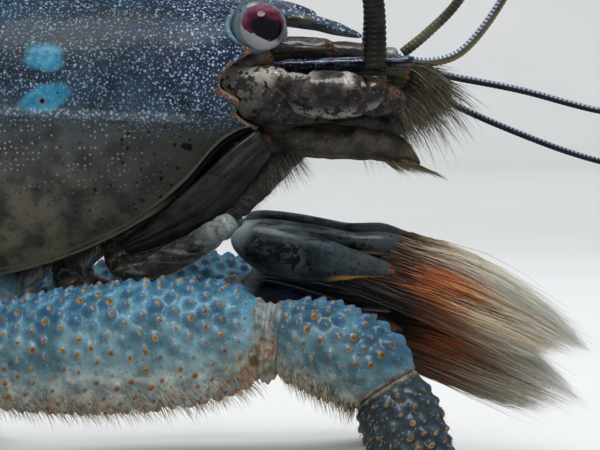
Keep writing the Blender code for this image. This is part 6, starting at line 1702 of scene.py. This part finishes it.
def add_blade(shape, grid, share, t, thickness, ridges, length, width):
    """A thin blade with raised ridges, about a grid of middle points."""
    normal = normals_of(grid)
    normal = normal * np.sign(normal[..., 2].mean())
    ridge = np.zeros(grid.shape[:2])
    for place in ridges:
        ridge = np.maximum(ridge, np.exp(-(((t - place) / 0.09) ** 2)) * (1 - 0.6 * share))
    edge = np.minimum((1 - share) * length, (1 - np.abs(t)) * width / 2)
    fine = 0.03 * np.sin(t * 55) * np.clip(share * 2 - 0.6, 0, 1)
    thick = (thickness / 2 + 0.28 * ridge + fine) * np.clip(edge / 0.35, 0.35, 1)
    maps = np.stack([t * width / 2 + 0 * share, share * length + 0 * t], axis=-1) / 10
    shape.slab(
        on_floor(grid + normal * thick[..., None]), on_floor(grid - normal * thick[..., None]), maps,
        hem=edge, level=0.5 + 0.3 * share + 0 * t, ridge=ridge,
    )


def edge_hairs(rng, grid, count, first, length, spread, bend, sign_out=None):
    """Hairs from the end of a blade and the hind part of its sides, with their place on it."""
    rows, columns = grid.shape[:2]
    around = rng.uniform(0, 1, count)
    side_share = 0.3
    i = np.where(around < side_share, rng.integers(int(rows * first), rows, count), rows - 1)
    j = np.where(around < side_share, np.where(rng.uniform(0, 1, count) < 0.5, 0, columns - 1), rng.integers(0, columns, count))
    middle = (columns - 1) / 2
    roots = grid[i, j]
    aim = unit(grid[-1, columns // 2] - grid[0, columns // 2])
    across = unit(grid[rows // 2, -1] - grid[rows // 2, 0])
    outward = ((j - middle) / middle)[:, None] * np.where(i < rows - 1, 1.4, spread)[:, None]
    aims = aim + across * outward + rng.normal(0, 0.07, (count, 3))
    jitter = across * rng.uniform(-0.5, 0.5, (count, 1)) * np.linalg.norm(grid[-1, 1] - grid[-1, 0])
    bends = np.array(bend) + rng.normal(0, 0.04, (count, 3))
    paths = bent_hairs(roots + jitter, aims, rng.uniform(*length, count), bends, SHORT_HAIR_POINTS)
    return on_floor(paths, HAIR_LOWEST), np.stack([0.05 + 0.9 * j / (columns - 1), 0.05 + 0.9 * i / (rows - 1)], axis=-1)


TAIL_BLADES = ((0.5, 0.2, 11.3, 4.9), (1.5, 0.56, 12.1, 6.1))


def make_tail():
    paint = abdomen_paint()
    fringe = hair_paint("tail_hair", ((0.0, (90, 82, 62)), (0.5, (128, 116, 88)), (1.0, (166, 152, 122))), (188, 180, 156))
    end = SEGMENT_STARTS[-1] + 0.3
    rows = []
    for share, half_width, half_thick in TELSON:
        rows.append((*abdomen_point(end - 0.5 + (TELSON_LENGTH + 0.5) * share, 0, 0.9 - 0.9 * share), half_width, half_thick))
    telson = Limb(rows, LEVEL_SIDE, 64, 100, dome=(0, 0.5))
    top = np.clip(telson.up, 0, 1)
    keels = np.exp(-(((np.abs(np.cos(telson.angle))[None, :] - 0.42) / 0.1) ** 2)) * top
    shape = Shape()
    shape.tube(
        on_floor(telson.raised(0.16 * keels + 0.04 * ripple(telson.grid, 1.6, 171))), telson.maps,
        hem=(telson.length - telson.s), level=0.75, ridge=keels * 0.7, inside=0.0,
    )
    shape.place("telson_plate", paint, "shell", ["telson"])
    rng = np.random.default_rng(175)
    paths, uv = edge_hairs(rng, telson.grid[:-6, :33], 500, 0.85, (1.6, 2.7), 0.25, (0.0, 0.0, -0.03))
    hairs = Shape()
    hairs.strands(paths, 0.035, uv, shade=rng.uniform(0, 1, 500))
    hairs.place("telson_fringe", fringe, "shell", ["telson"], "OFBake")

    tip = abdomen_point(end + TELSON_LENGTH, 0, -0.9)
    for side, sign in SIDES.items():
        out = np.array([0.0, sign, 0.0])
        root = abdomen_point(end - 1.0, sign * 2.7, -1.2)
        back = unit(tip - abdomen_point(end - 1.0, 0, -1.1))
        stem_rows = [
            (*(root - back * 0.6), 1.2, 1.0),
            (*(root + back * 1.6 + out * 0.7), 1.5, 0.9),
            (*(root + back * 3.2 + out * 1.4), 1.3, 0.6),
        ]
        stem = Limb(stem_rows, LEVEL_SIDE, 40, 40, dome=(0, 0.8))
        shape, hairs = Shape(), Shape()
        shape.tube(on_floor(stem.grid), stem.maps, hem=2.0, level=0.6, ridge=0.0, inside=0.0)
        rng = np.random.default_rng(181 if sign < 0 else 182)
        for step, spread, length, width in TAIL_BLADES:
            start = root + back * 1.5 + out * step - np.array([0, 0, 0.3 * (step - 0.5)])
            grid, share, t = blade_grid(start, back + out * spread, out, length, width, 84, 43, 0.25 * sign)
            add_blade(shape, grid, share, t, 0.34, (0.0, -0.45, 0.45) if step > 1 else (0.0,), length, width)
            paths, uv = edge_hairs(rng, grid, 1100, 0.55, (1.0, 2.0), 0.25, (0.0, 0.0, -0.03))
            hairs.strands(paths, 0.035, uv, shade=rng.uniform(0, 1, 1100))
        shape.place(f"tail_fan_{side}_blades", paint, "shell", [f"tail_fan_{side}"])
        hairs.place(f"tail_fan_{side}_fringe", fringe, "shell", [f"tail_fan_{side}"], "OFBake")


PADDLE_LENGTH, PADDLE_LOSS = 5.2, 0.35


def make_swimmerets():
    paint = leg_paint("paddle_shell", 0.0)
    fringe = hair_paint("paddle_hair", ((0.0, (96, 80, 56)), (0.5, (140, 124, 96)), (1.0, (176, 166, 142))), (190, 184, 164))
    for number in range(5):
        for side, sign in SIDES.items():
            middle = (SEGMENT_STARTS[number] + SEGMENT_STARTS[number + 1]) / 2 + (0.6 if number == 0 else 0.0)
            depth = float(smooth(middle, ABDOMEN_S, ABDOMEN_DOWN))
            width = float(smooth(middle, ABDOMEN_S, ABDOMEN_HALF_WIDTH))
            root = abdomen_point(middle - 0.6, sign * width * 0.27, -depth * 0.45)
            elbow = abdomen_point(middle + 0.3, sign * width * 0.33, -depth * 0.92)
            aim = abdomen_point(middle + 3.6, sign * width * 0.36, -depth * 1.5) - elbow
            stem = Limb([(*root, 0.8, 0.9), (*(root + elbow) / 2, 0.85, 1.0), (*elbow, 0.7, 0.75)], LEVEL_SIDE, 28, 40, dome=(0, 0.5))
            length = PADDLE_LENGTH - PADDLE_LOSS * number
            start = elbow - unit(aim) * 0.5
            shape, hairs = Shape(), Shape()
            blank = dict(stud=0.0, eye=0.0, dark=0.0, share=0.5)
            shape.tube(on_floor(stem.grid), stem.maps, up=stem.up, joint=0.0, **blank)
            rng = np.random.default_rng(200 + 2 * number + (sign > 0))
            leaves = (
                (start - (0, sign * 0.25, 0), aim, length * 0.85, 1.9),
                (start + (0, sign * 0.55, 0), aim + (0.0, sign * 0.25, -0.5), length, 2.2),
            )
            for leaf_root, leaf_aim, leaf_length, leaf_width in leaves:
                grid, share, t = blade_grid(leaf_root, leaf_aim, LEVEL_SIDE, leaf_length, leaf_width, 34, 17, 0.2)
                normal = normals_of(grid)
                thick = 0.2 * np.clip(np.minimum((1 - share) * 4, (1 - np.abs(t)) * 3), 0.35, 1)
                thick = thick + 0.08 * np.exp(-((t / 0.15) ** 2))
                maps = np.stack([t * leaf_width / 2 + 0 * share, share * leaf_length + 0 * t], axis=-1) / 10
                shape.slab(
                    on_floor(grid + normal * thick[..., None]), on_floor(grid - normal * thick[..., None]), maps,
                    up=0.0, joint=0.0, **blank,
                )
                paths, uv = edge_hairs(rng, grid, 260, 0.3, (0.9, 1.7), 0.4, (0.0, 0.0, -0.05))
                hairs.strands(paths, 0.03, uv, shade=rng.uniform(0, 1, 260))
            shape.place(f"swimmeret_{number + 1}_{side}_leaves", paint, "paddle", [f"swimmeret_{number + 1}_{side}"])
            hairs.place(
                f"swimmeret_{number + 1}_{side}_fringe", fringe, "paddle", [f"swimmeret_{number + 1}_{side}"], "OFBake",
            )


# Stage

CAMERA_RISE = math.radians(3.0)
CAMERA_DISTANCE = 160.0
CAMERA_AIM = (2.9, -6.0, 21.0)
FOCAL_PIXELS, IMAGE_WIDTH = 2080.0, 600


def make_stage():
    floor = Paint("backdrop")
    cloud = floor.noise(60.0, 4.0)
    colour = floor.mix(cloud, rgb(206, 208, 208), rgb(216, 216, 214))
    floor.finish(colour, 0.7, floor.noise(1.5, 3.0), 0.05)
    half_width, bend_start, bend = 2600.0, 1100.0, 500.0
    profile = [(-half_width, 0.0), (bend_start, 0.0)]
    for angle in np.linspace(0, math.pi / 2, 24)[1:]:
        profile.append((bend_start + bend * math.sin(angle), bend * (1 - math.cos(angle))))
    profile.append((bend_start + bend, half_width))
    points, faces = [], []
    for y, z in profile:
        points += [(-half_width * MM, y * MM, z * MM), (half_width * MM, y * MM, z * MM)]
    for k in range(len(profile) - 1):
        faces.append((2 * k, 2 * k + 1, 2 * k + 3, 2 * k + 2))
    mesh = bpy.data.meshes.new("backdrop")
    mesh.from_pydata(points, [], faces)
    mesh.polygons.foreach_set("use_smooth", np.ones(len(faces), bool))
    mesh.materials.append(floor.material)
    sweep = bpy.data.objects.new("backdrop", mesh)
    bpy.context.scene.collection.objects.link(sweep)
    sweep.visible_glossy = False


def add_light(name, place, target, size, power, colour=(1, 1, 1), mirrored_in_gloss=True):
    data = bpy.data.lights.new(name, "AREA")
    data.shape = "DISK"
    data.size = size * MM
    data.energy = power
    data.color = colour
    light = bpy.data.objects.new(name, data)
    light.location = (np.array(place) + SHIFT) * MM
    light.visible_camera = False
    light.visible_glossy = mirrored_in_gloss
    toward = Vector(target) - Vector(place)
    light.rotation_euler = toward.to_track_quat("-Z", "Y").to_euler()
    bpy.context.scene.collection.objects.link(light)


def make_camera():
    data = bpy.data.cameras.new("view")
    data.sensor_width = 36.0
    data.lens = FOCAL_PIXELS / IMAGE_WIDTH * data.sensor_width
    data.clip_start = 0.01
    data.clip_end = 5.0
    camera = bpy.data.objects.new("view", data)
    back = np.array([0, -math.cos(CAMERA_RISE), math.sin(CAMERA_RISE)]) * CAMERA_DISTANCE
    camera.location = (np.array(CAMERA_AIM) + back + SHIFT) * MM
    camera.rotation_euler = (math.pi / 2 - CAMERA_RISE, 0, 0)
    bpy.context.scene.collection.objects.link(camera)
    bpy.context.scene.camera = camera


def make_world():
    world = bpy.data.worlds.new("studio")
    world.use_nodes = True
    background = world.node_tree.nodes["Background"]
    background.inputs["Color"].default_value = (0.85, 0.9, 1.0, 1.0)
    background.inputs["Strength"].default_value = 0.3
    bpy.context.scene.world = world
    bpy.context.scene.view_settings.view_transform = "Standard"


make_carapace()
make_thorax()
make_rostrum()
make_head()
make_eyes()
make_feelers()
make_antennules()
make_antennae()
make_mouth()
make_limb_sheets()
make_jaw_legs()
make_fan_legs()
make_walking_legs()
make_abdomen()
make_tail()
make_swimmerets()
make_stage()
add_light("key", (-15, -110, 240), (0, -6, 22), 120, 0.36, (1.0, 0.98, 0.95))
add_light("fill", (160, -150, 60), (5, -6, 20), 220, 0.16, (0.9, 0.95, 1.0), False)
add_light("rim", (40, 170, 190), (0, 0, 25), 220, 0.14, (0.95, 0.97, 1.0), False)
add_light("wash", (0, 300, 1500), (0, 1600, 500), 1400, 26.0, (1, 1, 1), False)
make_camera()
make_world()
